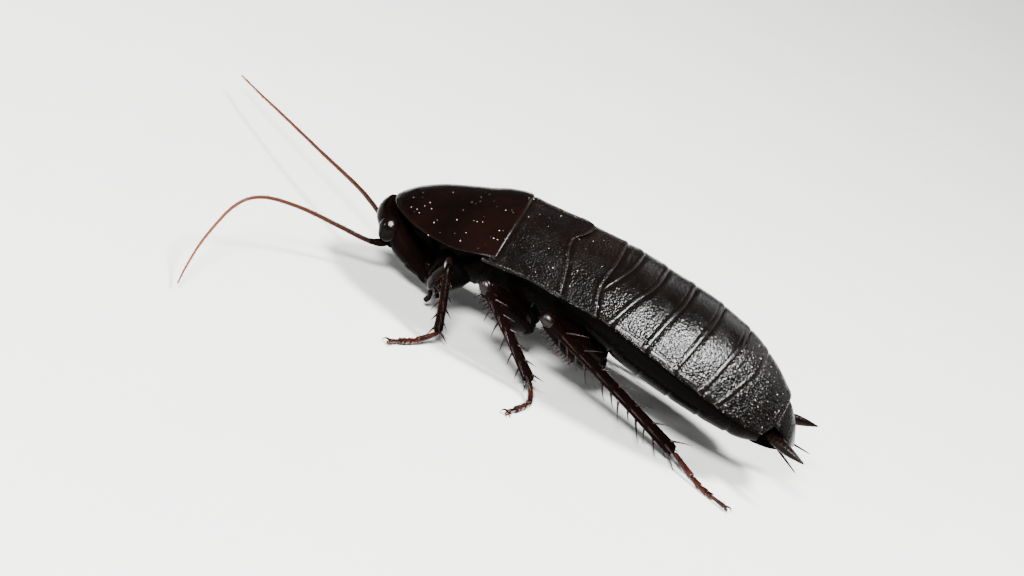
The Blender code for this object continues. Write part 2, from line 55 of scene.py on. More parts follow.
# The body, as the solids have it: X, half width, height of the side margin, rise of the back.
BODY = (
    (0.6, 1.2, 6.25, 0.12),
    (1.7, 3.0, 6.33, 1.12),
    (3.7, 5.4, 6.5, 2.24),
    (6.5, 6.9, 6.98, 3.05),
    (8.0, 7.1, 7.5, 3.28),
    (9.4, 7.25, 7.88, 3.3),
    (9.95, 7.35, 7.66, 3.53),
    (11.5, 7.55, 7.9, 3.33),
    (15.0, 7.85, 8.08, 3.3),
    (18.5, 8.05, 8.15, 3.35),
    (22.0, 8.1, 7.75, 3.6),
    (26.0, 7.75, 7.05, 4.05),
    (29.0, 6.95, 6.35, 4.15),
    (31.6, 5.7, 5.7, 3.7),
    (33.9, 3.7, 5.2, 2.65),
    (36.2, 0.9, 4.8, 0.6),
)
SHIELD_FRONT = 0.6
SHIELD_CURVE = 8.6
SHIELD_HALF = 7.2
# Plates of the back: name, and X of the hind margin at four places from the middle to the corner.
PLATES = (
    ("pronotum", (9.75, 9.72, 9.65, 9.55)),
    ("mesonotum", (14.9, 13.9, 14.5, 15.1)),
    ("metanotum", (17.7, 17.65, 17.42, 18.1)),
    ("tergite_1", (19.2, 18.8, 17.8, 16.4)),
    ("tergite_2", (21.35, 21.05, 20.2, 19.35)),
    ("tergite_3", (23.8, 23.6, 23.1, 22.55)),
    ("tergite_4", (26.4, 26.25, 25.85, 25.3)),
    ("tergite_5", (28.95, 28.9, 28.5, 27.8)),
    ("tergite_6", (31.0, 30.95, 30.4, 29.4)),
    ("tergite_7", (34.15, 34.15, 34.1, 33.4)),
)
# The four places, as squares of the share of the half width.
MARGIN_PLACES = (0.0, 0.16, 0.5, 1.0)
ORIGIN = Vector((
    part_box("pronotum")[0][0] - SHIELD_FRONT * MM,
    (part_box("pronotum")[0][1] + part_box("pronotum")[1][1]) / 2,
    0.0,
))

# The camera: how far it looks down, how far it is turned, and the point that fixes the framing.
LENS = 135.0
SENSOR = 36.0
PICTURE = (1024, 576)
LOOK_DOWN = math.radians(18.0)
TURN = math.radians(29.5)
DISTANCE = 291.0
ANCHOR = Vector((18.0, 0.0, 7.0))
ANCHOR_PIXEL = (602.0, 299.0)

# Relief of the plates. A ridge, groove or tint gives its height, its place and its width.
PLATE_COLUMNS = 120
PLATE_ROWS = 26
FIRST_BELLY_PLATE = 3
SHORTEST_PLATE = 0.3
TUCK = 0.9
TUCK_DEPTH = 0.08
PLATE_THICK = 0.2
FRONT_THIN = 0.15
PLATE_LIFT = 0.06
PAD_BEAD = (0.04, 0.988, 0.006)
BELLY_BEAD = (0.015, 0.975, 0.02)
BEAD_GROOVE = (-0.03, 0.952, 0.007)
FRONT_RIDGE = (0.015, 0.42, 0.12)
SEAM_RIDGE = (0.14, 0.0, 0.22)
SEAM_GROOVE = (-0.07, 0.45, 0.2)
PAD_SWELL = (0.22, 0.0, 2.2)
MIDDLE_GROOVE = (-0.08, 0.0, 0.45)
SHIELD_RIM = (0.02, 0.12, 0.09)
SHIELD_RIM_DROP = 0.04
SEAM_TINT = (0.9, 0.5, 0.3)
MIDDLE_TINT = (0.6, 0.0, 2.0)
MARGIN_TUCK = 0.13
MARGIN_INSET = 0.22
SHOULDER = 9.95
SHOULDER_SLOPE = 0.16
# The rolled hind edge of a plate, from its top round to its underside: X past the margin, and rise.
EDGE_ROLL = ((-0.46, 0.0), (-0.4, 0.008), (-0.34, 0.018), (-0.28, 0.024), (-0.22, 0.024), (-0.16, 0.018),
             (-0.1, 0.006), (-0.05, -0.012), (-0.01, -0.05), (0.0, -0.085), (-0.02, -0.13), (-0.08, -0.16))

# The underside: X, half width, lowest point.
THORAX = ((4.6, 2.0, 4.1), (5.2, 2.7, 3.7), (6.0, 3.4, 3.2), (10.0, 5.3, 3.5), (14.0, 6.0, 3.9),
          (18.0, 6.5, 4.3))
BELLY = ((17.4, 6.7, 4.7), (19.0, 6.9, 4.5), (22.0, 7.5, 4.1), (26.0, 7.1, 3.6), (29.0, 6.3, 3.4),
         (31.6, 5.0, 3.3), (33.3, 3.6, 3.55))
# X of the seams between its plates, the step behind a seam and the dip before it.
THORAX_SEAMS = (9.2, 13.6)
BELLY_SEAMS = (20.2, 22.9, 25.6, 28.2, 30.8)
SEAM_STEP = 0.13
SEAM_STEP_LENGTH = 0.5
SEAM_DIP = 0.05
SEAM_DIP_LENGTH = 0.35
UNDER_STATIONS = 90
UNDER_SIDES = 48
UNDER_GAP = 0.22
INNER_GAP = 0.75

# Plates at the tail: X, half width, top, bottom.
SUPRA_ANAL = ((33.4, 2.9, 7.5, 4.8), (34.3, 2.95, 7.15, 4.6), (35.0, 2.75, 6.45, 4.4),
              (35.4, 2.45, 5.95, 4.3), (35.75, 2.0, 5.5, 4.2), (36.02, 1.35, 5.05, 4.2),
              (36.15, 0.7, 4.75, 4.25))
SUBGENITAL = ((32.9, 3.0, 4.35, 3.5), (33.8, 2.8, 4.35, 3.6), (34.6, 2.3, 4.3, 3.65), (35.3, 1.4, 4.15, 3.8))
TAIL_STATIONS = 28
TAIL_SIDES = 40
TAIL_RIDGE = 0.05
TAIL_RIDGE_WIDTH = 0.25
# The tail feelers and the styli below them.
CERCI = {
    "left": ((33.7, -2.2, 4.9), (35.4, -3.2, 4.85), (37.25, -4.0, 4.75)),
    "right": ((33.7, 2.2, 5.1), (35.4, 3.0, 5.25), (37.4, 3.86, 5.42)),
}
CERCUS_RADII = (0.3, 0.42, 0.44, 0.42, 0.34, 0.2, 0.04)
CERCUS_RINGS = 11
STYLI = {
    "left": ((34.5, -0.95, 4.1), (37.2, -2.0, 3.15)),
    "right": ((34.5, 0.95, 4.15), (37.8, 2.05, 3.75)),
}
STYLUS_RADII = (0.11, 0.1, 0.08, 0.04)

# The head from crown to mouth: share of the way, half width, depth before and depth behind.
CROWN = Vector((1.15, 0.0, 5.09))
MOUTH = Vector((5.29, 0.0, 1.99))
HEAD_RINGS = (
    (-0.24, 0.35, 0.3, 0.05),
    (-0.22, 0.95, 0.65, 0.12),
    (-0.16, 1.7, 1.12, 0.3),
    (-0.04, 2.35, 1.53, 0.55),
    (0.15, 2.65, 1.66, 0.85),
    (0.35, 2.45, 1.57, 1.0),
    (0.55, 2.25, 1.49, 1.1),
    (0.75, 1.8, 1.27, 1.05),
    (0.9, 1.5, 0.98, 0.8),
    (1.0, 1.25, 0.7, 0.5),
)
HEAD_ROWS = 70
HEAD_SIDES = 96
# Relief of the face: height, place and width along the head, place and width across it.
LIP_SWELL = (0.05, 0.82, 0.06)
LIP_SUTURE = (-0.07, 0.0, 0.022)
SUTURE_PLACE = 0.72
SUTURE_BEND = 0.05
SOCKET_HOLLOW = (-0.22, 0.2, 0.07, 0.56, 0.13)
SOCKET_BROW = (0.1, 0.27, 0.04, 0.72, 0.1)
CHEEK_GROOVE = (-0.05, 0.86, 0.04)
# The eyes: the cap is the share of their reach toward the face that is pressed in.
EYE_CENTRE = Vector((1.36, 2.27, 4.26))
EYE_RADII = (0.82, 0.7, 1.05)
EYE_FACE = Vector((-0.09, 0.89, 0.44))
EYE_CAP = 0.72
EYE_CAP_BULGE = 0.2
EYE_NOTCH = 0.1
EYE_ROWS = 48
EYE_SIDES = 64
# The pale spot above each feeler: how far it stands out, and its half width and height.
PALE_SPOT = (0.07, 0.13, 0.16)
# The neck, and the lip, chin and right jaw at the mouth, with their radii.
NECK = ((2.5, 0.0, 4.5), (3.7, 0.0, 4.8), (5.2, 0.0, 5.1))
NECK_RADII = (1.1, 1.3, 1.55)
LIP = ((4.95, 0.0, 2.0), (5.6, 0.0, 1.7), (6.4, 0.0, 1.55))
LIP_RADII = (0.5, 0.5, 0.4, 0.2)
CHIN = ((4.7, 0.0, 3.2), (5.7, 0.0, 2.5), (6.6, 0.0, 1.75))
CHIN_RADII = (0.6, 0.8, 0.6, 0.25)
JAW = ((4.95, 1.0, 2.2), (5.7, 0.85, 1.8), (6.3, 0.35, 1.6))
JAW_RADII = (0.45, 0.5, 0.38, 0.15)
# The right palps: name, route, number of joints and size.
PALPS = (
    ("jaw_palp", ((5.35, 0.95, 2.05), (6.1, 1.6, 1.7), (6.5, 1.9, 1.15), (6.35, 1.9, 0.5)), 4, 1.0),
    ("lip_palp", ((6.2, 0.45, 1.65), (6.8, 0.85, 1.25), (7.1, 0.95, 0.9)), 3, 0.8),
)
PALP_RADII = (0.22, 0.2, 0.2, 0.24)

# The feelers.
ANTENNAE = {
    "left": ((2.0, -1.35, 3.2), (1.2, -1.95, 2.82), (0.2, -2.8, 2.78), (-1.9, -5.0, 3.4), (-4.9, -9.0, 4.5),
             (-7.4, -13.0, 5.1), (-8.65, -16.0, 4.5), (-9.15, -20.0, 2.7), (-9.1, -23.0, 1.3),
             (-8.9, -25.2, 0.6)),
    "right": ((2.0, 1.35, 3.2), (1.0, 1.75, 3.1), (-0.35, 2.4, 3.6), (-2.55, 5.0, 3.6), (-6.75, 9.5, 3.2),
              (-11.35, 15.0, 2.6), (-13.7, 18.0, 2.2), (-16.0, 21.0, 1.85)),
}
ANTENNA_NODES = {"left": ("scape", "1", "2", "3", "4"), "right": ("scape", "1", "2", "3")}
ANTENNA_POINTS = 1200
ANTENNA_RINGS = 96
ANTENNA_SIDES = 12
ANTENNA_RADII = (0.2, 0.175, 0.15, 0.13, 0.115, 0.095, 0.06)
# The four sections of one ring of a feeler: place along it, swell and darkness.
RING_SECTIONS = ((0.0, 0.84, 1.0), (0.25, 1.0, 0.2), (0.8, 1.02, 0.0), (0.97, 0.88, 0.8))
RING_GROWTH = 0.94
SCAPE_LENGTH = 1.7
SCAPE_RADII = (0.2, 0.29, 0.32, 0.29, 0.22)
PEDICEL_RADII = (0.2, 0.23, 0.23, 0.2)
PEDICEL_OVERLAP = 10
PEDICEL_POINTS = 26
# The raised ring round a feeler's root: place along the feeler, and radius.
SOCKET_RINGS = ((-0.25, 0.5), (0.08, 0.46), (0.17, 0.41), (0.18, 0.35), (0.12, 0.31), (-0.1, 0.3))

# The legs: coxa root, coxa end, knee, ankle, bend of the tarsus, tip of the tarsus.
LEGS = {
    "fore_left": ((7.5, -2.5, 4.9), (6.2, -3.2, 2.5), (6.69, -6.5, 5.5), (8.5, -8.4, 1.0),
                  (7.2, -10.6, 0.3), (5.8, -13.0, 0.3)),
    "fore_right": ((7.4, 2.5, 4.9), (5.9, 3.2, 2.5), (4.6, 6.6, 5.2), (4.4, 9.4, 1.0),
                   (2.6, 11.0, 0.3), (0.2, 12.6, 0.3)),
    "mid_left": ((12.4, -2.8, 4.9), (14.2, -2.6, 3.0), (9.9, -8.4, 6.0), (16.3, -7.7, 1.0),
                 (16.9, -10.0, 0.3), (15.85, -13.8, 0.3)),
    "mid_right": ((12.6, 2.8, 4.9), (14.4, 2.6, 3.0), (12.2, 8.7, 6.0), (18.0, 10.0, 1.0),
                  (18.9, 12.2, 0.3), (19.3, 15.8, 0.3)),
    "hind_left": ((17.4, -3.0, 4.9), (20.2, -2.6, 3.2), (15.1, -7.2, 5.8), (28.3, -5.5, 1.0),
                  (31.2, -7.4, 0.3), (33.4, -8.5, 0.3)),
    "hind_right": ((17.4, 3.0, 4.9), (20.2, 2.6, 3.2), (17.3, 8.6, 5.8), (29.4, 9.2, 1.0),
                   (31.6, 11.0, 0.3), (34.4, 12.6, 0.3)),
}
LEG_SIZE = {"fore": 0.85, "mid": 1.0, "hind": 1.12}
COXA_SIZE = {"fore": 1.0, "mid": 1.05, "hind": 1.12}
COXA_RADII = (1.5, 1.7, 1.6, 1.3, 0.85)
TROCHANTER_RADII = (0.5, 0.72, 0.55)
FEMUR_RADII = (0.5, 0.9, 1.08, 1.1, 0.98, 0.78, 0.6)
KNEE_SIZE = (0.42, 0.52, 0.5)
TIBIA_RADII = (0.34, 0.4, 0.4, 0.4, 0.42, 0.48)
# The rows of spines along the shin, as degrees round it from its upper side.
SPINE_ROWS = {"fore": (90, -90, 30), "mid": (90, -80, 20, 180), "hind": (80, -95, 20, 145, -150)}
SPINES_IN_ROW = {"fore": 5, "mid": 6, "hind": 7}
SPINE_LENGTH = {"fore": 0.75, "mid": 0.9, "hind": 1.3}
SPINE_RADIUS = 0.115
SPINE_LEAN = 0.8
FEMUR_SPINES = 6
FEMUR_SPINE_RADIUS = 0.09
FEMUR_SPINE_LENGTH = 0.7
# The feet: where their joints meet, their radii, the pads under them and the claws.
TARSUS_SHARES = (0.0, 0.42, 0.58, 0.7, 0.79, 1.0)
TARSUS_HEIGHT = 0.3
PADDED_JOINTS = 4
JOINT_RADII = (0.2, 0.22, 0.25, 0.29)
LAST_JOINT_RADII = (0.14, 0.15, 0.17, 0.2)
PAD_SIZE = (0.22, 0.17, 0.12)
PAD_DROP = 0.12
PAD_HEIGHT = 0.13
END_PAD_SIZE = (0.16, 0.15, 0.12)
END_PAD_HEIGHT = 0.14
# Knots of the right claw, from the tip of the foot: ahead, across and up.
CLAW_KNOTS = ((-0.15, 0.06, 0.0), (0.3, 0.3, 0.08), (0.5, 0.42, -0.2))
CLAW_RADII = (0.1, 0.085, 0.05, 0.012)
CLAW_HEIGHT = 0.05

# Spines and bristles: how a spine tapers, its tip, and a bristle's radius and least height.
THORN_TAPER = 0.8
THORN_TIP = 0.012
THORN_HEIGHT = 0.08
BRISTLE_RADIUS = 0.022
BRISTLE_HEIGHT = 0.03

# Specks of dust on the plates, in cells of this scale: smallest and largest reach, and colour. On graded
# skin they keep to the coarse granules and are painted glints as well as dust.
DUST_AND_GLINT_SCALE = 2900.0
DUST_AND_GLINT_SMALL = 0.05
DUST_LARGE = 0.13
GLINT_LARGE = 0.15
DUST_AND_GLINT_COLOUR = (0.34, 0.32, 0.29)

# The studio: name, place, aim, size and power of each light, then the sky and the floor.
LIGHTS = (
    ("over_tail", (105, -10, 250), (25, -4, 8), (75, 65), 3.0),
    ("low_left", (-230, -280, 110), (1, -2, 4), (40, 40), 0.8),
    ("by_camera", (-60, -330, 230), (10, 0, 3), (90, 60), 8.0),
    ("behind", (210, 300, 190), (18, 0, 8), (400, 200), 0.3),
)
SKY_COLOUR = (0.9, 0.95, 1.0, 1.0)
SKY_STRENGTH = 0.07
FLOOR_REACH = 3.0
FLOOR_DARK = (0.62, 0.62, 0.6)
FLOOR_LIGHT = (0.66, 0.66, 0.64)
DRAW_SEED = 11


def smooth(table, x, column):
    """A value read from a table of stations, on a smooth curve that doesn't overshoot."""
    rows = [(row[0], row[column]) for row in table]
    if x <= rows[0][0]:
        return rows[0][1]
    if x >= rows[-1][0]:
        return rows[-1][1]
    slopes = [(b[1] - a[1]) / (b[0] - a[0]) for a, b in zip(rows, rows[1:])]
    tangents = [slopes[0]]
    for before, after in zip(slopes, slopes[1:]):
        tangents.append(2 * before * after / (before + after) if before * after > 0 else 0.0)
    tangents.append(slopes[-1])
    index = max(i for i in range(len(rows) - 1) if rows[i][0] <= x)
    start = rows[index]
    end = rows[index + 1]
    span = end[0] - start[0]
    t = (x - start[0]) / span
    rise = (end[1] - start[1]) * (3 * t * t - 2 * t ** 3)
    leave = tangents[index] * span * (t ** 3 - 2 * t * t + t)
    arrive = tangents[index + 1] * span * (t ** 3 - t * t)
    return start[1] + rise + leave + arrive


def reading(values, share):
    """A smooth value at a share, 0 to 1, along a short list."""
    table = [(i / (len(values) - 1), value) for i, value in enumerate(values)]
    return smooth(table, share, 1)


def margin(x):
    """Height of the side margin at X."""
    return smooth(BODY, x, 2)


def half_width(x):
    """Half width of the body at X, along an ellipse at the front of the shield."""
    if x >= SHIELD_FRONT + SHIELD_CURVE:
        return smooth(BODY, x, 1)
    share = (SHIELD_FRONT + SHIELD_CURVE - x) / SHIELD_CURVE
    return SHIELD_HALF * math.sqrt(max(0.0, 1 - share * share))


def placed(point):
    """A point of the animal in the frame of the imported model, in metres."""
    return ORIGIN + Vector(point) * MM


def ease(low, high, value):
    """0 below low, 1 above high, and a smooth rise between them."""
    t = min(1.0, max(0.0, (value - low) / (high - low)))
    return t * t * (3 - 2 * t)


def hill(shape, *values):
    """A soft hill, or a hollow under 0. shape is its height, then a place and a width for each value."""
    height = shape[0]
    for value, place, width in zip(values, shape[1::2], shape[2::2]):
        height *= math.exp(-((value - place) / width) ** 2)
    return height


def smooth_route(knots, count):
    """Evenly spaced points on a smooth curve through the knots."""
    knots = [Vector(knot) for knot in knots]
    padded = [2 * knots[0] - knots[1]] + knots + [2 * knots[-1] - knots[-2]]
    fine = []
    for a, b, c, d in zip(padded, padded[1:], padded[2:], padded[3:]):
        for step in range(24):
            t = step / 24
            fine.append(0.5 * ((2 * b) + (c - a) * t + (2 * a - 5 * b + 4 * c - d) * t * t
                               + (3 * b - a - 3 * c + d) * t ** 3))
    fine.append(knots[-1])
    gone = [0.0]
    for a, b in zip(fine, fine[1:]):
        gone.append(gone[-1] + (b - a).length)
    spaced = []
    index = 0
    for step in range(count):
        wanted = gone[-1] * step / (count - 1)
        while index < len(fine) - 2 and gone[index + 1] < wanted:
            index += 1
        part = (wanted - gone[index]) / (gone[index + 1] - gone[index])
        spaced.append(fine[index].lerp(fine[index + 1], part))
    return spaced


def loft(rings):
    """A skin over rings that have the same number of points, with its ends closed by hubs."""
    count = len(rings[0])
    points = [Vector(point) for around in rings for point in around]
    faces = []
    for row in range(len(rings) - 1):
        for i in range(count):
            j = (i + 1) % count
            faces.append((row * count + i, row * count + j, (row + 1) * count + j, (row + 1) * count + i))
    for row in (0, len(rings) - 1):
        start = row * count
        points.append(sum((Vector(point) for point in rings[row]), Vector()) / count)
        hub = len(points) - 1
        faces += [(start + i, start + (i + 1) % count, hub) for i in range(count)]
    return points, faces


def joined(shapes):
    """Several shapes as one list of points and faces."""
    points = []
    faces = []
    for shape_points, shape_faces in shapes:
        base = len(points)
        points += shape_points
        faces += [tuple(base + i for i in face) for face in shape_faces]
    return points, faces


def ring(centre, across, over, half, depth, sides):
    """One ring round a centre."""
    points = []
    for step in range(sides):
        turn = 2 * math.pi * step / sides
        points.append(centre + across * half * math.cos(turn) + over * depth * math.sin(turn))
    return points


def round_ends(share, cap):
    """Shrinks a limb to a round end over the last part of its length."""
    near = min(share, 1 - share)
    if near >= cap:
        return 1.0
    return math.sqrt(max(0.02, 1 - (1 - near / cap) ** 2))


def axes(ahead, side=None):
    """Directions across and over a way ahead; across points away from the body if side is given."""
    ahead = ahead.normalized()
    across = ahead.cross(UP)
    if across.length < 0.01:
        across = Vector((1, 0, 0))
    across.normalize()
    if side and across.y * side < 0:
        across = -across
    over = across.cross(ahead).normalized()
    if over.z < 0:
        over = -over
    return across, over


def sweep(route, radii, sides, flatten=1.0, cap=0.06, extra=None):
    """A limb with round ends along a route. flatten squeezes it across, extra swells it along the way."""
    rings = []
    last = len(route) - 1
    for index, point in enumerate(route):
        share = index / last
        ahead = route[min(index + 1, last)] - route[max(index - 1, 0)]
        across, over = axes(ahead)
        radius = reading(radii, share) * round_ends(share, cap)
        if extra:
            radius *= extra(share)
        rings.append(ring(point, across, over, radius * flatten, radius, sides))
    return loft(rings)


def bead(centre, axis, across, over, size, sides, rows, first=-90.0, closed=0.98):
    """A rounded bead. size is its reach along the axis, across and over; first is its lowest angle."""
    rings = []
    for row in range(rows + 1):
        turn = math.radians(first + (90.0 - first) * row / rows) * closed
        spot = centre + axis * size[0] * math.sin(turn)
        rings.append(ring(spot, across, over, size[1] * math.cos(turn), size[2] * math.cos(turn), sides))
    return loft(rings)


def thorn(root, tip, radius, bend, sides=6, rows=4):
    """A tapered spine that bends a little, its root sunk in what it grows from."""
    across, over = axes(tip - root)
    rings = []
    for row in range(rows):
        share = row / rows
        centre = root + (tip - root) * share + bend * math.sin(math.pi * share)
        thin = radius * (1 - share) ** THORN_TAPER
        rings.append(ring(centre, across, over, thin, thin, sides))
    rings.append(ring(tip, across, over, THORN_TIP, THORN_TIP, sides))
    return loft(rings)


def piece(name, shape, finish, nodes=(), sharp=50, values=None):
    """A piece of the visual model from points in millimetres, riding on the body of the part."""
    points, faces = shape
    mesh = bpy.data.meshes.new(name)
    mesh.from_pydata([tuple(placed(point)) for point in points], [], faces)
    work = bmesh.new()
    work.from_mesh(mesh)
    bmesh.ops.recalc_face_normals(work, faces=work.faces)
    work.to_mesh(mesh)
    work.free()
    for label, numbers in (values or {}).items():
        mesh.attributes.new(label, "FLOAT", "POINT").data.foreach_set("value", numbers)
    mesh.materials.append(finish)
    mesh.shade_smooth()
    mesh.set_sharp_from_angle(angle=math.radians(sharp))
    made = bpy.data.objects.new(name, mesh)
    bpy.context.scene.collection.objects.link(made)
    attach(made, "root")
    if nodes:
        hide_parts(*nodes)


class Nodes:
    """Short calls for building one material's nodes."""

    def __init__(self, name):
        self.material = bpy.data.materials.new(name)
        self.material.use_nodes = True
        self.tree = self.material.node_tree
        self.shader = self.tree.nodes["Principled BSDF"]
        self.place = self.add("ShaderNodeTexCoord").outputs["Object"]

    def add(self, kind, **settings):
        made = self.tree.nodes.new(kind)
        for key, value in settings.items():
            setattr(made, key, value)
        return made

    def link(self, source, target):
        self.tree.links.new(source, target)

    def noise(self, scale, detail=3.0, roughness=0.55, stretch=None):
        """Soft noise, finer as scale grows."""
        made = self.add("ShaderNodeTexNoise")
        made.inputs["Scale"].default_value = scale
        made.inputs["Detail"].default_value = detail
        made.inputs["Roughness"].default_value = roughness
        self.link(self.stretched(stretch), made.inputs["Vector"])
        return made.outputs["Fac"]

    def cells(self, scale, feature="F1"):
        """The node of a cell pattern, for its distance or its colour."""
        made = self.add("ShaderNodeTexVoronoi", feature=feature)
        made.inputs["Scale"].default_value = scale
        self.link(self.place, made.inputs["Vector"])
        return made

    def stretched(self, stretch):
        """The place on the piece, scaled along each axis if stretch is given."""
        if not stretch:
            return self.place
        made = self.add("ShaderNodeMapping")
        made.inputs["Scale"].default_value = stretch
        self.link(self.place, made.inputs["Vector"])
        return made.outputs["Vector"]

    def value(self, label):
        """A number that the mesh carries at each point."""
        return self.add("ShaderNodeAttribute", attribute_name=label).outputs["Fac"]

    def math(self, operation, first, second):
        """A sum, product or the like of sockets or numbers."""
        made = self.add("ShaderNodeMath", operation=operation)
        for index, source in enumerate((first, second)):
            if isinstance(source, (int, float)):
                made.inputs[index].default_value = source
            else:
                self.link(source, made.inputs[index])
        return made.outputs["Value"]

    def between(self, source, low, high, new_low=0.0, new_high=1.0):
        """A smooth step from new_low to new_high as the source goes from low to high."""
        made = self.add("ShaderNodeMapRange", clamp=True, interpolation_type="SMOOTHSTEP")
        made.inputs["From Min"].default_value = low
        made.inputs["From Max"].default_value = high
        made.inputs["To Min"].default_value = new_low
        made.inputs["To Max"].default_value = new_high
        self.link(source, made.inputs["Value"])
        return made.outputs["Result"]

    def mix(self, share, first, second):
        """A colour between two sockets or colours."""
        made = self.add("ShaderNodeMix", data_type="RGBA")
        self.link(share, made.inputs["Factor"])
        for socket, source in ((made.inputs[6], first), (made.inputs[7], second)):
            if isinstance(source, tuple):
                socket.default_value = (*source, 1.0)
            else:
                self.link(source, socket)
        return made.outputs[2]

    def bump(self, height, depth, under=None):
        """Relief in the shading, its depth in millimetres."""
        made = self.add("ShaderNodeBump")
        made.inputs["Distance"].default_value = depth * MM
        self.link(height, made.inputs["Height"])
        if under:
            self.link(under, made.inputs["Normal"])
        return made.outputs["Normal"]

    def finish(self, colour, roughness, normal, ior=1.5):
        """Links the shader and gives the material."""
        self.link(colour, self.shader.inputs["Base Color"])
        self.link(roughness, self.shader.inputs["Roughness"])
        self.link(normal, self.shader.inputs["Normal"])
        self.shader.inputs["IOR"].default_value = ior
        return self.material


def dust_and_glint_specks(nodes, share, graded):
    """1 on the specks and 0 between them. share is how many of the cells hold a speck. The specks are dust;
    on graded skin they keep to the coarse granules and are painted glints as well.
    """
    cell = nodes.cells(DUST_AND_GLINT_SCALE)
    split = nodes.add("ShaderNodeSeparateColor")
    nodes.link(cell.outputs["Color"], split.inputs["Color"])
    largest = GLINT_LARGE if graded else DUST_LARGE
    reach = nodes.between(split.outputs["Green"], 0.3, 1.0, DUST_AND_GLINT_SMALL, largest)
    near = nodes.between(nodes.math("SUBTRACT", reach, cell.outputs["Distance"]), 0.0, 0.02)
    chosen = nodes.between(split.outputs["Red"], 1.0 - share, 1.0 - share + 0.01)
    # On graded skin the specks keep to the coarse granules, where they are painted glints as well as dust.
    if graded:
        chosen = nodes.math("MULTIPLY", chosen, nodes.between(nodes.value("grain"), 0.5, 0.8))
    return nodes.math("MULTIPLY", near, chosen)


def cuticle(name, dark, light, gloss, grain, grain_depth, wrinkle=0.0, dust_and_glints=0.0, edge=None, ior=1.25,
            graded=False):
    """Insect skin: dark with a slow drift to a lighter tint, granules, wrinkles, specks of dust, and on
    graded skin painted glints on the coarse granules.
    """
    nodes = Nodes(name)
    drift = nodes.between(nodes.noise(220.0), 0.35, 0.7)
    colour = nodes.mix(drift, dark, light)
    if edge:
        colour = nodes.mix(nodes.value("edge"), colour, edge)
    height = nodes.math("MULTIPLY", nodes.cells(grain, "SMOOTH_F1").outputs["Distance"], -1.0)
    if graded:
        height = nodes.math("MULTIPLY", height, nodes.value("grain"))
    normal = nodes.bump(height, grain_depth)
    normal = nodes.bump(nodes.noise(grain * 0.5), grain_depth * 0.5, normal)
    if wrinkle:
        normal = nodes.bump(nodes.noise(1100.0, 4.0, 0.6, (2.6, 0.3, 0.5)), wrinkle, normal)
    shine = nodes.between(nodes.noise(700.0, 4.0), 0.3, 0.75, gloss * 0.8, gloss * 1.35)
    # Pale specks mixed into the colour: dust, and on graded skin painted glints.
    if dust_and_glints:
        speck = dust_and_glint_specks(nodes, dust_and_glints, graded)
        colour = nodes.mix(speck, colour, DUST_AND_GLINT_COLOUR)
        shine = nodes.math("ADD", shine, nodes.math("MULTIPLY", speck, 0.5))
    return nodes.finish(colour, shine, normal, ior)


def feeler_finish():
    """Ringed feelers: dark brown at the root, orange-brown toward the tip."""
    nodes = Nodes("feeler_skin")
    along = nodes.value("along")
    colour = nodes.mix(nodes.between(along, 0.0, 0.45), (0.006, 0.0025, 0.0018), (0.045, 0.011, 0.004))
    colour = nodes.mix(nodes.between(along, 0.4, 1.0), colour, (0.13, 0.034, 0.01))
    colour = nodes.mix(nodes.math("MULTIPLY", nodes.value("groove"), 0.6), colour, (0.008, 0.003, 0.002))
    shine = nodes.between(nodes.noise(3000.0), 0.3, 0.7, 0.25, 0.4)
    return nodes.finish(colour, shine, nodes.bump(nodes.noise(9000.0, 2.0), 0.01), 1.2)


def amber_finish(name, deep, bright, ior=1.25):
    """Red-brown skin that lets some light through, as on the feet, spines and tail feelers."""
    nodes = Nodes(name)
    colour = nodes.mix(nodes.between(nodes.noise(900.0), 0.35, 0.7), deep, bright)
    shine = nodes.between(nodes.noise(2500.0), 0.3, 0.7, 0.16, 0.3)
    nodes.shader.inputs["Subsurface Weight"].default_value = 0.12
    nodes.shader.inputs["Subsurface Radius"].default_value = (1.0, 0.35, 0.15)
    nodes.shader.inputs["Subsurface Scale"].default_value = 0.25 * MM
    return nodes.finish(colour, shine, nodes.bump(nodes.noise(7000.0), 0.012), ior)


def eye_finish():
    """Black eye with fine facets under a wet gloss."""
    nodes = Nodes("eye_skin")
    drift = nodes.between(nodes.noise(500.0), 0.4, 0.7)
    colour = nodes.mix(drift, (0.0015, 0.001, 0.001), (0.004, 0.002, 0.002))
    shine = nodes.between(nodes.noise(1500.0), 0.3, 0.7, 0.05, 0.08)
    return nodes.finish(colour, shine, nodes.bump(nodes.cells(16000.0).outputs["Distance"], 0.002), 1.11)


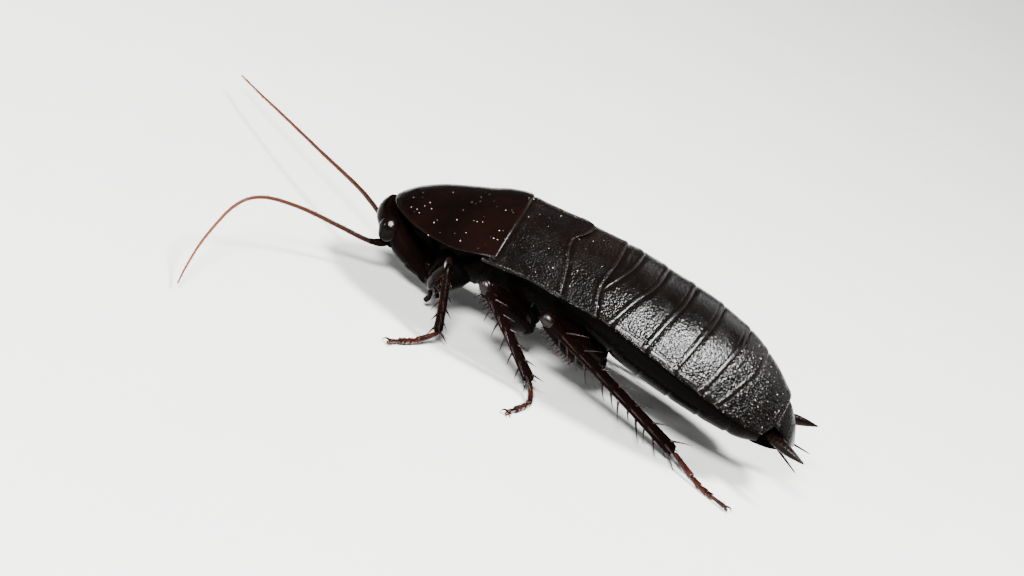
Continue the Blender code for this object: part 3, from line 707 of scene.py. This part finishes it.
def finishes():
    """All the materials of the part, by their short names."""
    black = (0.001, 0.0008, 0.0007)
    brown = (0.002, 0.0012, 0.0009)
    rim = (0.004, 0.002, 0.0013)
    red_black = (0.0013, 0.0007, 0.0006)
    red_brown = (0.003, 0.0012, 0.0009)
    leg_brown = (0.0022, 0.0009, 0.0007)
    olive = (0.005, 0.003, 0.002)
    # The underside's black is darker than the back's: the real dark underside, with the shade beneath the
    # body painted into it.
    under_black_and_shade = (0.0007, 0.0006, 0.0005)
    return {
        # The back's specks sit on its coarse granules: painted glints as well as dust.
        "back": cuticle("back_skin", black, brown, gloss=0.2, grain=6800.0, grain_depth=0.05, wrinkle=0.03,
                        dust_and_glints=1.0, edge=rim, graded=True),
        "pads": cuticle("pad_skin", black, brown, gloss=0.3, grain=6400.0, grain_depth=0.045, dust_and_glints=0.55,
                        edge=rim, ior=1.17),
        "shield": cuticle("shield_skin", red_black, red_brown, gloss=0.2, grain=7000.0, grain_depth=0.008,
                          dust_and_glints=0.55, edge=olive, ior=1.15),
        "head": cuticle("head_skin", red_black, red_brown, gloss=0.1, grain=6500.0, grain_depth=0.005,
                        ior=1.05),
        # Underside, neck, coxae and subgenital plate are darker than the back: their own dark colour, and
        # painted shade under the body.
        "under": cuticle("under_skin", under_black_and_shade, black, gloss=0.2, grain=5200.0, grain_depth=0.02,
                         wrinkle=0.02, ior=1.05),
        "leg": cuticle("leg_skin", red_black, leg_brown, gloss=0.14, grain=6000.0, grain_depth=0.012,
                       ior=1.06),
        "tail": cuticle("tail_skin", black, brown, gloss=0.25, grain=7000.0, grain_depth=0.03, wrinkle=0.03,
                        dust_and_glints=0.2, ior=1.15),
        "knee": amber_finish("knee_skin", (0.002, 0.0009, 0.0007), (0.005, 0.0016, 0.001)),
        "foot": amber_finish("foot_skin", (0.006, 0.0016, 0.001), (0.02, 0.004, 0.0018)),
        "spine": amber_finish("spine_skin", (0.003, 0.0012, 0.0009), (0.01, 0.003, 0.0017)),
        "hair": amber_finish("hair_skin", (0.012, 0.005, 0.003), (0.03, 0.012, 0.006)),
        "cercus": amber_finish("cercus_skin", (0.0015, 0.0008, 0.0006), (0.004, 0.0014, 0.0009), 1.13),
        "pale": amber_finish("membrane_skin", (0.025, 0.011, 0.006), (0.05, 0.024, 0.012)),
        "feeler": feeler_finish(),
        "eye": eye_finish(),
    }


def hind_edge(index, s):
    """X of a plate's hind margin, where s runs from -1 at the left corner to 1 at the right."""
    return smooth(tuple(zip(MARGIN_PLACES, PLATES[index][1])), s * s, 1)


def front_edge(index, s):
    """X where a plate comes out from under the plates before it."""
    if index:
        return max(hind_edge(before, s) for before in range(index))
    return SHIELD_FRONT + SHIELD_CURVE * (1 - math.sqrt(max(0.0, 1 - s * s)))


def side_height(index, x):
    """Height of a plate's side margin. Behind the shield it goes on forward under the shield's corner."""
    if index == 0 or x > SHOULDER:
        return margin(x)
    return margin(SHOULDER) - SHOULDER_SLOPE * (SHOULDER - x)


def back_point(index, x, y, lift):
    """A point of the back, lifted off the smooth body by a plate's own relief."""
    across = min(1.0, abs(y) / max(half_width(x), 0.5))
    side = side_height(index, x)
    top = margin(x) + smooth(BODY, x, 3)
    return Vector((x, y, side + (top - side) * (1 - across * across) + lift))


def plate_lift(index, x, start, end, s):
    """The relief of a plate at X: tucked under the one before, then rising to its hind edge."""
    name = PLATES[index][0]
    share = min(1.0, max(0.0, (x - start) / max(end - start, SHORTEST_PLATE)))
    fade = 1 - 0.75 * ease(0.9, 1.0, abs(s))
    lift = PLATE_LIFT * (share ** 1.3 - 0.45) * fade
    if index:
        under = 1 - ease(-0.05, 0.22, x - start)
        lift -= (TUCK_DEPTH * fade + MARGIN_TUCK * (1 - fade)) * under
        lift += hill(FRONT_RIDGE, x - start) * fade
    if index >= FIRST_BELLY_PLATE:
        lift += hill(BELLY_BEAD, abs(s)) + hill(BEAD_GROOVE, abs(s))
    else:
        lift += hill(PAD_BEAD, abs(s))
    off_middle = abs(s) * SHIELD_HALF
    if name == "mesonotum":
        lift += hill(SEAM_RIDGE, off_middle) * (1 - 0.4 * share)
        lift += hill(SEAM_GROOVE, off_middle)
        lift += hill(PAD_SWELL, off_middle) * ease(0.6, 1.0, share)
    if name == "metanotum":
        lift += hill(MIDDLE_GROOVE, off_middle)
    return lift


def plate_columns():
    """Places across a plate, closer together toward the side margins."""
    half = PLATE_COLUMNS // 2
    shares = [1 - (1 - i / half) ** 1.8 for i in range(half + 1)]
    return [-s for s in reversed(shares[1:])] + shares


def plate_side(index, x, start, s):
    """How far out a plate reaches: where it is tucked under another, it draws in a little."""
    if index == 0:
        return s * SHIELD_HALF
    if index == 1:
        return s * half_width(x)
    drawn_in = MARGIN_INSET * (1 - ease(-0.02, 0.12, x - start))
    return s * (half_width(x) - drawn_in)


def shield_rim(x, first):
    """The flat, slightly rolled rim along the front and sides of the shield."""
    return hill(SHIELD_RIM, x - first) - SHIELD_RIM_DROP * ease(0.5, 0.0, x - first) ** 2


def plate_tint(index, x, start, end, first, s):
    """How much of the edge colour shows: the thin rims, and a lighter band along the middle seam."""
    name = PLATES[index][0]
    tint = 0.5 * ease(0.3, 0.0, end - x)
    off_middle = abs(s) * SHIELD_HALF
    share = (x - start) / max(end - start, SHORTEST_PLATE)
    if name == "pronotum":
        tint += 0.6 * ease(0.3, 0.0, x - first)
    if name == "mesonotum":
        tint += hill(SEAM_TINT, off_middle) * (1 - share)
    if name == "metanotum":
        tint += hill(MIDDLE_TINT, off_middle)
    return min(1.0, tint)


def plate_grain(index, s, x, end):
    """How coarse the granules are: fine along the middle, none on the polished hind rim or the side bead."""
    polished = ease(0.1, 0.5, end - x) * ease(0.97, 0.945, abs(s))
    if PLATES[index][0] in ("mesonotum", "metanotum"):
        return polished
    toward_tail = index / (len(PLATES) - 1)
    coarse = min(1.6, 0.35 + 0.5 * ease(0.45, 0.95, abs(s)) + 1.2 * ease(0.75, 1.0, toward_tail))
    return coarse * max(polished, 0.9 * ease(0.9, 1.0, toward_tail))


def plate_profile(index, s):
    """One lengthwise section of a plate: its top, its rolled hind edge and its underside."""
    rows = PLATE_ROWS * 2 if index == 0 else PLATE_ROWS
    end = hind_edge(index, s)
    start = front_edge(index, s)
    first = min(start, end - 0.12) if index == 0 else min(start, end) - TUCK
    last = max(end + EDGE_ROLL[0][0], first + 0.02)
    thick = PLATE_THICK * (1 - 0.45 * ease(0.965, 1.0, abs(s)))
    points = []
    tints = []
    grains = []

    def add(x, rise, tint=None):
        side = plate_side(index, x, start, s)
        lift = plate_lift(index, min(x, end), start, end, s) + rise
        points.append(back_point(index, x, side, lift))
        tints.append(plate_tint(index, x, start, end, first, s) if tint is None else tint)
        grains.append(plate_grain(index, s, x, end))

    for row in range(rows + 1):
        x = first + (last - first) * row / rows
        add(x, shield_rim(x, first) if index == 0 else 0.0)
    for back, rise in EDGE_ROLL:
        add(max(end + back, first + 0.03), rise)
    for row in range(rows, -1, -2):
        x = first + (last - first) * row / rows
        thin = FRONT_THIN + (1 - FRONT_THIN) * ease(0.0, 0.9, x - first) if index == 0 else 1.0
        add(x, -thick * thin, 0.5)
    return points, tints, grains


def build_plate(index, finish):
    """One plate of the back as a thin shell whose front is tucked under the plate before it."""
    name = PLATES[index][0]
    columns = plate_columns()
    if index == 0:
        columns = [math.sin(0.5 * math.pi * s) for s in columns]
    rings = []
    tints = []
    grains = []
    for s in columns:
        points, more_tints, more_grains = plate_profile(index, s)
        rings.append(points)
        tints += more_tints
        grains += more_grains
    values = {"edge": tints + [1.0, 1.0], "grain": grains + [1.0, 1.0]}
    piece(name + "_plate", loft(rings), finish, (name,), 60, values)


def build_back(finish):
    """All the plates of the back, from the shield to the last one."""
    for index, (name, *_) in enumerate(PLATES):
        skin = {"pronotum": "shield", "mesonotum": "pads", "metanotum": "pads"}.get(name, "back")
        build_plate(index, finish[skin])


def under_ring(x, half, low):
    """A ring of the underside whose upper side fills the inside of the back."""
    top = margin(x) - UNDER_GAP
    points = []
    for step in range(UNDER_SIDES + 1):
        turn = math.pi * step / UNDER_SIDES
        points.append(Vector((x, half * math.cos(turn), top - (top - low) * math.sin(turn) ** 0.8)))
    inner = smooth(BODY, x, 3) - INNER_GAP
    for step in range(1, UNDER_SIDES // 2):
        turn = math.pi * (1 - step / (UNDER_SIDES // 2))
        y = half * math.cos(turn)
        across = min(1.0, abs(y) / half_width(x))
        points.append(Vector((x, y, top + max(0.0, inner * (1 - across * across) - 0.1))))
    return points


def build_underside(name, node, table, seams, finish):
    """The underside of thorax or belly: overlapping plates with a rounded hind edge each."""
    start = table[0][0]
    end = table[-1][0]
    rings = []
    for step in range(UNDER_STATIONS + 1):
        x = start + (end - start) * step / UNDER_STATIONS
        after = [x - seam for seam in seams if x >= seam]
        before = [seam - x for seam in seams if x < seam]
        raised = 0.0
        if after:
            raised += SEAM_STEP * (1 - ease(0.0, SEAM_STEP_LENGTH, min(after)))
        if before:
            raised -= SEAM_DIP * (1 - ease(0.0, SEAM_DIP_LENGTH, min(before)))
        rings.append(under_ring(x, smooth(table, x, 1) - raised * 0.4, smooth(table, x, 2) + raised))
    piece(name, loft(rings), finish, (node,), 40)


def flat_tail(name, node, table, finish, ridge=0.0):
    """A small rounded plate at the tail."""
    rings = []
    for step in range(TAIL_STATIONS + 1):
        x = table[0][0] + (table[-1][0] - table[0][0]) * step / TAIL_STATIONS
        half, top, low = [smooth(table, x, column) for column in (1, 2, 3)]
        fade = math.sqrt(max(0.03, 1 - ease(0.7, 1.0, step / TAIL_STATIONS) ** 2))
        points = []
        for turn_step in range(TAIL_SIDES):
            turn = 2 * math.pi * turn_step / TAIL_SIDES
            across = math.cos(turn)
            above = math.sin(turn)
            y = half * math.copysign(abs(across) ** 0.9, across)
            arch = 1 - (y / max(half, 0.01)) ** 2
            z = (top + low) / 2 + (top - low) / 2 * above * (0.35 + 0.65 * arch) * fade
            z += hill((ridge, 0.0, TAIL_RIDGE_WIDTH), y) * max(0.0, above)
            points.append(Vector((x, y, z)))
        rings.append(points)
    piece(name, loft(rings), finish, (node,), 45)


def bristles(route, radii, count, length, draw, lean=0.5, from_share=0.05):
    """Fine bristles round a limb, leaning toward its tip."""
    shapes = []
    last = len(route) - 1
    for _ in range(count):
        share = draw.uniform(from_share, 0.97)
        index = min(int(share * last), last - 1)
        point = route[index].lerp(route[index + 1], share * last - index)
        ahead = (route[index + 1] - route[index]).normalized()
        across, over = axes(ahead)
        turn = draw.uniform(0, 2 * math.pi)
        away = across * math.cos(turn) + over * math.sin(turn)
        radius = reading(radii, share)
        root = point + away * radius * 0.6
        tip = root + (away + ahead * lean).normalized() * (radius * 0.4 + length * draw.uniform(0.7, 1.2))
        tip.z = max(tip.z, BRISTLE_HEIGHT)
        shapes.append(thorn(root, tip, BRISTLE_RADIUS, Vector(), 3, 2))
    return shapes


def cercus_swell(share):
    """Each ring of a tail feeler swells a little between two grooves."""
    return 0.98 + 0.05 * abs(math.sin(math.pi * share * CERCUS_RINGS)) ** 0.6


def build_tail(finish, draw):
    """The two plates at the tail, the ringed tail feelers and the styli."""
    flat_tail("supra_anal_plate_skin", "supra_anal_plate", SUPRA_ANAL, finish["tail"], TAIL_RIDGE)
    flat_tail("subgenital_plate_skin", "subgenital_plate", SUBGENITAL, finish["under"])
    for side, knots in CERCI.items():
        route = smooth_route(knots, CERCUS_RINGS * 6 + 1)
        shape = sweep(route, CERCUS_RADII, 20, 0.9, 0.04, cercus_swell)
        piece(f"cercus_{side}_skin", shape, finish["cercus"], (f"cercus_{side}",), 60)
        hairs = bristles(route, CERCUS_RADII, 14, 0.1, draw, 0.9, 0.3)
        piece(f"cercus_{side}_bristles", joined(hairs), finish["hair"])
    for side, knots in STYLI.items():
        shape = sweep(smooth_route(knots, 24), STYLUS_RADII, 12)
        piece(f"stylus_{side}_skin", shape, finish["cercus"], (f"stylus_{side}",))


def head_axes():
    """The way from crown to mouth, and the way the face looks."""
    ahead = (MOUTH - CROWN).normalized()
    face = Vector((0, 1, 0)).cross(ahead).normalized()
    return ahead, face if face.x < 0 else -face


def head_point(share, turn, out=0.0):
    """A point on the head: share from crown to mouth, turn round it with 90 degrees at the face."""
    _, face = head_axes()
    half, front, back = [smooth(HEAD_RINGS, share, column) for column in (1, 2, 3)]
    aside = math.copysign(abs(math.cos(turn)) ** 0.92, math.cos(turn))
    ahead = math.sin(turn)
    depth = front if ahead > 0 else back
    return CROWN.lerp(MOUTH, share) + Vector((0, (half + out) * aside, 0)) + face * (depth + out) * ahead


def head_relief(share, turn):
    """Small relief of the face: the suture above the lip and hollows round the feelers' sockets."""
    side = abs(math.cos(turn))
    relief = hill(LIP_SUTURE, share - SUTURE_PLACE - SUTURE_BEND * side * side)
    relief += hill(LIP_SWELL, share)
    relief += hill(SOCKET_HOLLOW, share, side)
    relief += hill(SOCKET_BROW, share, side)
    relief += hill(CHEEK_GROOVE, side) * ease(0.35, 0.6, share)
    return relief * max(0.0, math.sin(turn))


def mirrored(knots, way):
    """Knots of the right side, moved to the left side where way is -1."""
    return [Vector((x, y * way, z)) for x, y, z in knots]


def build_head(finish, draw):
    """The head with its neck, eyes, pale spots, sockets and mouth."""
    first = HEAD_RINGS[0][0]
    rings = []
    for row in range(HEAD_ROWS + 1):
        share = first + (1 - first) * row / HEAD_ROWS
        turns = [2 * math.pi * step / HEAD_SIDES for step in range(HEAD_SIDES)]
        rings.append([head_point(share, turn, head_relief(share, turn)) for turn in turns])
    piece("head_skin", loft(rings), finish["head"], ("head",), 60)
    neck = sweep(smooth_route(NECK, 20), NECK_RADII, 32, 1.1)
    piece("neck_skin", neck, finish["under"], ("neck",), 60)
    _, face = head_axes()
    across = Vector((0, 1, 0))
    for side, way in (("left", -1), ("right", 1)):
        build_eye(side, way, finish["eye"])
        spot = head_point(0.1, math.radians(90 - 38 * way), -0.02)
        dome = bead(spot, face, across, face.cross(across), PALE_SPOT, 20, 6, first=0.0)
        piece(f"pale_spot_{side}", dome, finish["pale"], (), 60)
        piece(f"feeler_socket_{side}", socket_ring(side), finish["head"], (), 60)
    build_mouth(finish, draw)


def flattened(point, toward):
    """A point of the eye, pressed in softly where it bulges most toward one side."""
    reach = math.sqrt(sum((EYE_RADII[i] * toward[i]) ** 2 for i in range(3)))
    share = (point.dot(toward) / reach - EYE_CAP) / (1 - EYE_CAP)
    if share <= 0:
        return point
    return point - toward * reach * (1 - EYE_CAP) * (1 - EYE_CAP_BULGE) * share * share / 2


def build_eye(side, way, finish):
    """A kidney-shaped eye, a little hollowed toward the feeler's socket, with a flatter outer face."""
    centre = Vector((EYE_CENTRE.x, EYE_CENTRE.y * way, EYE_CENTRE.z))
    toward = Vector((EYE_FACE.x, EYE_FACE.y * way, EYE_FACE.z)).normalized()
    rings = []
    for row in range(1, EYE_ROWS):
        lift = math.pi * (row / EYE_ROWS - 0.5)
        points = []
        for step in range(EYE_SIDES):
            turn = 2 * math.pi * step / EYE_SIDES
            x = EYE_RADII[0] * math.cos(lift) * math.cos(turn)
            y = EYE_RADII[1] * math.cos(lift) * math.sin(turn)
            z = EYE_RADII[2] * math.sin(lift)
            notch = hill((EYE_NOTCH, -0.5, 0.4), z) * ease(0.0, 0.8, -x)
            points.append(centre + flattened(Vector((x + notch, y, z)), toward))
        rings.append(points)
    piece(f"eye_{side}_skin", loft(rings), finish, (f"eye_{side}",), 80)


def socket_ring(side):
    """The raised ring that a feeler comes out of."""
    route = smooth_route(ANTENNAE[side], 200)
    centre = route[1]
    ahead = (route[4] - route[0]).normalized()
    across, over = axes(ahead)
    rings = [ring(centre + ahead * back, across, over, radius, radius, 32) for back, radius in SOCKET_RINGS]
    return loft(rings)


def palp_swell(parts):
    """How thick a palp of this many joints is along its length, narrow where two joints meet."""
    def swell(share):
        return 0.72 + 0.28 * math.sin(math.pi * ((share * parts) % 1.0)) ** 0.6
    return swell


def build_mouth(finish, draw):
    """Lip, jaws and jointed palps at the mouth end of the head."""
    lip = sweep(smooth_route(LIP, 24), LIP_RADII, 32, 2.1, 0.12)
    chin = sweep(smooth_route(CHIN, 24), CHIN_RADII, 28, 1.7, 0.12)
    jaws = [sweep(smooth_route(mirrored(JAW, way), 18), JAW_RADII, 20, 0.8, 0.1) for way in (-1, 1)]
    piece("mouthparts_skin", joined([lip, chin] + jaws), finish["head"], ("mouthparts",), 60)
    for label, knots, parts, size in PALPS:
        for side, way in (("left", -1), ("right", 1)):
            route = smooth_route(mirrored(knots, way), 48)
            radii = [radius * size for radius in PALP_RADII]
            shape = sweep(route, radii, 14, 1.0, 0.05, palp_swell(parts))
            hairs = bristles(route, (0.18, 0.18), 26, 0.16, draw)
            piece(f"{label}_{side}", joined([shape] + hairs), finish["cercus"], (), 60)


def build_antenna(side, finish, draw):
    """One feeler: a stout first joint, then a long whip of rings that lengthen toward the tip."""
    route = smooth_route(ANTENNAE[side], ANTENNA_POINTS)
    length = sum((b - a).length for a, b in zip(route, route[1:]))
    first = SCAPE_LENGTH / length
    root = first * 0.9
    last = ANTENNA_POINTS - 1
    rings = []
    along = []
    groove = []
    for step in range(ANTENNA_RINGS):
        for part, swell, dark in RING_SECTIONS:
            place = root + (1 - root) * ((step + part) / ANTENNA_RINGS) ** RING_GROWTH
            index = min(int(place * last), last - 1)
            point = route[index].lerp(route[index + 1], place * last - index)
            across, over = axes(route[index + 1] - route[index])
            radius = reading(ANTENNA_RADII, step / ANTENNA_RINGS) * swell * (1 + draw.uniform(-0.03, 0.03))
            rings.append(ring(point, across, over, radius, radius, ANTENNA_SIDES))
            along += [place] * ANTENNA_SIDES
            groove += [dark] * ANTENNA_SIDES
    values = {"along": along + [0.0, 1.0], "groove": groove + [1.0, 0.0]}
    nodes = [f"antenna_{side}_{part}" for part in ANTENNA_NODES[side]]
    piece(f"feeler_{side}", loft(rings), finish["feeler"], nodes, 70, values)
    scape = sweep(route[: int(first * ANTENNA_POINTS)], SCAPE_RADII, 24, 1.0, 0.12)
    piece(f"feeler_root_{side}", scape, finish["head"], (), 60)
    start = int(first * ANTENNA_POINTS) - PEDICEL_OVERLAP
    pedicel = sweep(route[start: start + PEDICEL_POINTS], PEDICEL_RADII, 18, 1.0, 0.15)
    piece(f"feeler_second_{side}", pedicel, finish["head"], (), 60)
    hairs = bristles(route[start:], ANTENNA_RADII, 420, 0.1, draw, 0.9)
    piece(f"feeler_{side}_bristles", joined(hairs), finish["hair"])


def leg_thorns(kind, knee, ankle, side, radii, draw):
    """Rows of spines along the shin, leaning toward the foot, and a crown of longer ones at its end."""
    across, over = axes(ankle - knee, side)
    ahead = (ankle - knee).normalized()
    count = SPINES_IN_ROW[kind]
    shapes = []
    for row, turn in enumerate(SPINE_ROWS[kind]):
        angle = math.radians(turn)
        away = across * math.sin(angle) + over * math.cos(angle)
        for step in range(count):
            share = min((step + 0.8 + 0.45 * (row % 2)) / (count + 0.4), 0.97)
            base = knee.lerp(ankle, share)
            radius = reading(radii, share)
            longer = 1.15 if step == count - 1 else 1.0
            length = radius + SPINE_LENGTH[kind] * draw.uniform(0.75, 1.15) * longer
            lean = SPINE_LEAN * draw.uniform(0.8, 1.2)
            tip = base + (away + ahead * lean).normalized() * length * 1.15
            tip.z = max(tip.z, THORN_HEIGHT)
            shapes.append(thorn(base + away * radius * 0.5, tip, SPINE_RADIUS, ahead * -0.04 * length))
    return shapes


def femur_thorns(hip, knee, side, radii, draw):
    """Two rows of spines under the outer part of the thigh."""
    across, over = axes(knee - hip, side)
    ahead = (knee - hip).normalized()
    shapes = []
    for step in range(FEMUR_SPINES):
        share = 0.36 + 0.115 * step
        base = hip.lerp(knee, share)
        radius = reading(radii, share)
        for way in (-0.35, 0.35):
            root = base - over * radius * 0.8 + across * way * 0.4
            length = FEMUR_SPINE_LENGTH * draw.uniform(0.7, 1.1)
            tip = root - over * length + ahead * 0.4 + across * way * 0.4
            shapes.append(thorn(root, tip, FEMUR_SPINE_RADIUS, Vector()))
    return shapes


def foot_joints(route):
    """The joints of a foot, and the soft pads under all but the last."""
    length = len(route) - 1
    joints = []
    pads = []
    for index, (start, end) in enumerate(zip(TARSUS_SHARES, TARSUS_SHARES[1:])):
        part = route[int(start * length): int(end * length) + 1]
        padded = index < PADDED_JOINTS
        joints.append(sweep(part, JOINT_RADII if padded else LAST_JOINT_RADII, 16, 0.9, 0.08))
        if padded:
            spot = part[-2] - UP * PAD_DROP
            spot.z = max(spot.z, PAD_HEIGHT)
            across, over = axes(part[-1] - part[-4])
            ahead = (part[-1] - part[-4]).normalized()
            pads.append(bead(spot, ahead, across, over, PAD_SIZE, 14, 8, closed=0.97))
    return joints, pads


def foot_claws(tip, ahead, across):
    """Two hooked claws at the end of a foot."""
    hooks = []
    for way in (-1, 1):
        knots = []
        for forward, aside, rise in CLAW_KNOTS:
            knot = tip + ahead * forward + across * way * aside + UP * rise
            knot.z = max(knot.z, CLAW_HEIGHT)
            knots.append(knot)
        hooks.append(sweep(smooth_route(knots, 12), CLAW_RADII, 10, 1.0, 0.02))
    return hooks


def build_tarsus(name, route, finish):
    """A foot in five joints with soft pads under them, two hooked claws and the pad between."""
    joints, pads = foot_joints(route)
    tip = route[-1]
    ahead = (route[-1] - route[-8]).normalized()
    across, over = axes(ahead)
    middle = tip + ahead * 0.16 - UP * 0.1
    middle.z = max(middle.z, END_PAD_HEIGHT)
    pads.append(bead(middle, ahead, across, over, END_PAD_SIZE, 14, 8, closed=0.97))
    shape = joined(joints + foot_claws(tip, ahead, across))
    piece(f"{name}_foot", shape, finish["foot"], (f"{name}_tarsus",), 60)
    piece(f"{name}_pads", joined(pads), finish["pale"], (), 60)


def build_coxa(name, kind, root, hip, finish):
    """The flattened first part of a leg, from the body to the hip."""
    radii = [radius * COXA_SIZE[kind] for radius in COXA_RADII]
    route = smooth_route((root + UP * 0.4, root.lerp(hip, 0.5) - UP * 0.1, hip), 36)
    coxa = sweep(route, radii, 36, 0.75, 0.1)
    piece(f"{name}_coxa_skin", coxa, finish["under"], (f"{name}_coxa",), 60)


def build_thigh(name, size, hip, knee, side, finish, draw):
    """The thigh, the short joint at its root and the spines under it."""
    radii = [radius * size for radius in FEMUR_RADII]
    root_radii = [radius * size for radius in TROCHANTER_RADII]
    start = hip - (knee - hip).normalized() * 0.45
    joint = sweep(smooth_route((start, hip.lerp(knee, 0.12)), 14), root_radii, 24, 0.85, 0.3)
    femur = sweep(smooth_route((start, knee), 44), radii, 32, 0.62, 0.05)
    piece(f"{name}_femur_skin", joined([joint, femur]), finish["leg"], (f"{name}_femur",), 60)
    spines = femur_thorns(start, knee, side, radii, draw)
    piece(f"{name}_femur_spines", joined(spines), finish["spine"], (), 60)


def build_leg(name, knots, finish, draw):
    """One leg: coxa, thigh, shin, knee and foot, with their spines and bristles."""
    kind, side_name = name.split("_")
    side = -1 if side_name == "left" else 1
    size = LEG_SIZE[kind]
    root, hip, knee, ankle, bend, tip = [Vector(knot) for knot in knots]
    build_coxa(name, kind, root, hip, finish)
    build_thigh(name, size, hip, knee, side, finish, draw)
    ahead = (ankle - knee).normalized()
    radii = [radius * size for radius in TIBIA_RADII]
    middle = knee.lerp(ankle, 0.5) + axes(ahead, side)[1] * 0.08
    shin = smooth_route((knee - ahead * 0.1, middle, ankle), 48)
    tibia = sweep(shin, radii, 24, 0.92, radii[-1] / (ankle - knee).length)
    piece(f"{name}_tibia_skin", tibia, finish["leg"], (f"{name}_tibia",), 60)
    across, over = axes(knee - hip, side)
    knob = bead(knee, across, ahead, over, [reach * size for reach in KNEE_SIZE], 24, 14)
    piece(f"{name}_knee", knob, finish["knee"], (), 60)
    thorns = leg_thorns(kind, knee, ankle, side, radii, draw)
    piece(f"{name}_tibia_spines", joined(thorns), finish["spine"], (), 60)
    foot = [Vector((p.x, p.y, max(p.z, TARSUS_HEIGHT))) for p in smooth_route((ankle, bend, tip), 121)]
    build_tarsus(name, foot, finish)
    hairs = bristles(shin, radii, 50, 0.22, draw, 1.0) + bristles(foot, (0.22, 0.2), 46, 0.2, draw, 1.0)
    piece(f"{name}_bristles", joined(hairs), finish["hair"])


def build_camera():
    """A level camera turned about its view, placed so that the anchor falls on its pixel."""
    forward = Vector((0, math.cos(LOOK_DOWN), -math.sin(LOOK_DOWN)))
    level = Vector((1, 0, 0))
    rise = Vector((0, math.sin(LOOK_DOWN), math.cos(LOOK_DOWN)))
    right = math.cos(TURN) * level + math.sin(TURN) * rise
    up = math.cos(TURN) * rise - math.sin(TURN) * level
    pixels = LENS / SENSOR * PICTURE[0]
    aside = (ANCHOR_PIXEL[0] - PICTURE[0] / 2) / pixels * DISTANCE
    above = (ANCHOR_PIXEL[1] - PICTURE[1] / 2) / pixels * DISTANCE
    place = placed(ANCHOR - DISTANCE * forward - aside * right + above * up)
    data = bpy.data.cameras.new("camera")
    data.lens = LENS
    data.sensor_width = SENSOR
    data.clip_start = 0.005
    camera = bpy.data.objects.new("camera", data)
    rows = [(right[i], up[i], -forward[i], place[i]) for i in range(3)]
    camera.matrix_world = Matrix((*rows, (0, 0, 0, 1)))
    bpy.context.scene.collection.objects.link(camera)
    bpy.context.scene.camera = camera


def build_light(name, place, aim, size, power):
    """A rectangle of light at a place, aimed at a point."""
    data = bpy.data.lights.new(name, "AREA")
    data.shape = "RECTANGLE"
    data.size = size[0] * MM
    data.size_y = size[1] * MM
    data.energy = power
    light = bpy.data.objects.new(name, data)
    light.location = placed(place)
    light.rotation_euler = (Vector(aim) - Vector(place)).to_track_quat("-Z", "Y").to_euler()
    bpy.context.scene.collection.objects.link(light)


def build_studio():
    """A pale floor, lights over the tail, at the left, by the camera and behind, and a faint sky."""
    mesh = bpy.data.meshes.new("floor")
    corners = [(x * FLOOR_REACH, y * FLOOR_REACH, 0) for x, y in ((-1, -1), (1, -1), (1, 1), (-1, 1))]
    mesh.from_pydata(corners, [], [(0, 1, 2, 3)])
    floor = bpy.data.objects.new("floor", mesh)
    nodes = Nodes("pale_floor")
    colour = nodes.mix(nodes.noise(30.0), FLOOR_DARK, FLOOR_LIGHT)
    shine = nodes.between(nodes.noise(200.0), 0.3, 0.7, 0.6, 0.7)
    mesh.materials.append(nodes.finish(colour, shine, nodes.bump(nodes.noise(900.0), 0.01)))
    bpy.context.scene.collection.objects.link(floor)
    for name, place, aim, size, power in LIGHTS:
        build_light(name, place, aim, size, power)
    world = bpy.data.worlds.new("sky")
    world.use_nodes = True
    sky = world.node_tree.nodes["Background"]
    sky.inputs["Color"].default_value = SKY_COLOUR
    sky.inputs["Strength"].default_value = SKY_STRENGTH
    bpy.context.scene.world = world


def main():
    """Builds the camera, the studio and every piece of the part."""
    build_camera()
    build_studio()
    draw = random.Random(DRAW_SEED)
    finish = finishes()
    build_back(finish)
    build_underside("thorax_skin", "thorax_underside", THORAX, THORAX_SEAMS, finish["under"])
    build_underside("belly_skin", "belly", BELLY, BELLY_SEAMS, finish["under"])
    build_head(finish, draw)
    for side in ANTENNAE:
        build_antenna(side, finish, draw)
    for name, knots in LEGS.items():
        build_leg(name, knots, finish, draw)
    build_tail(finish, draw)


main()
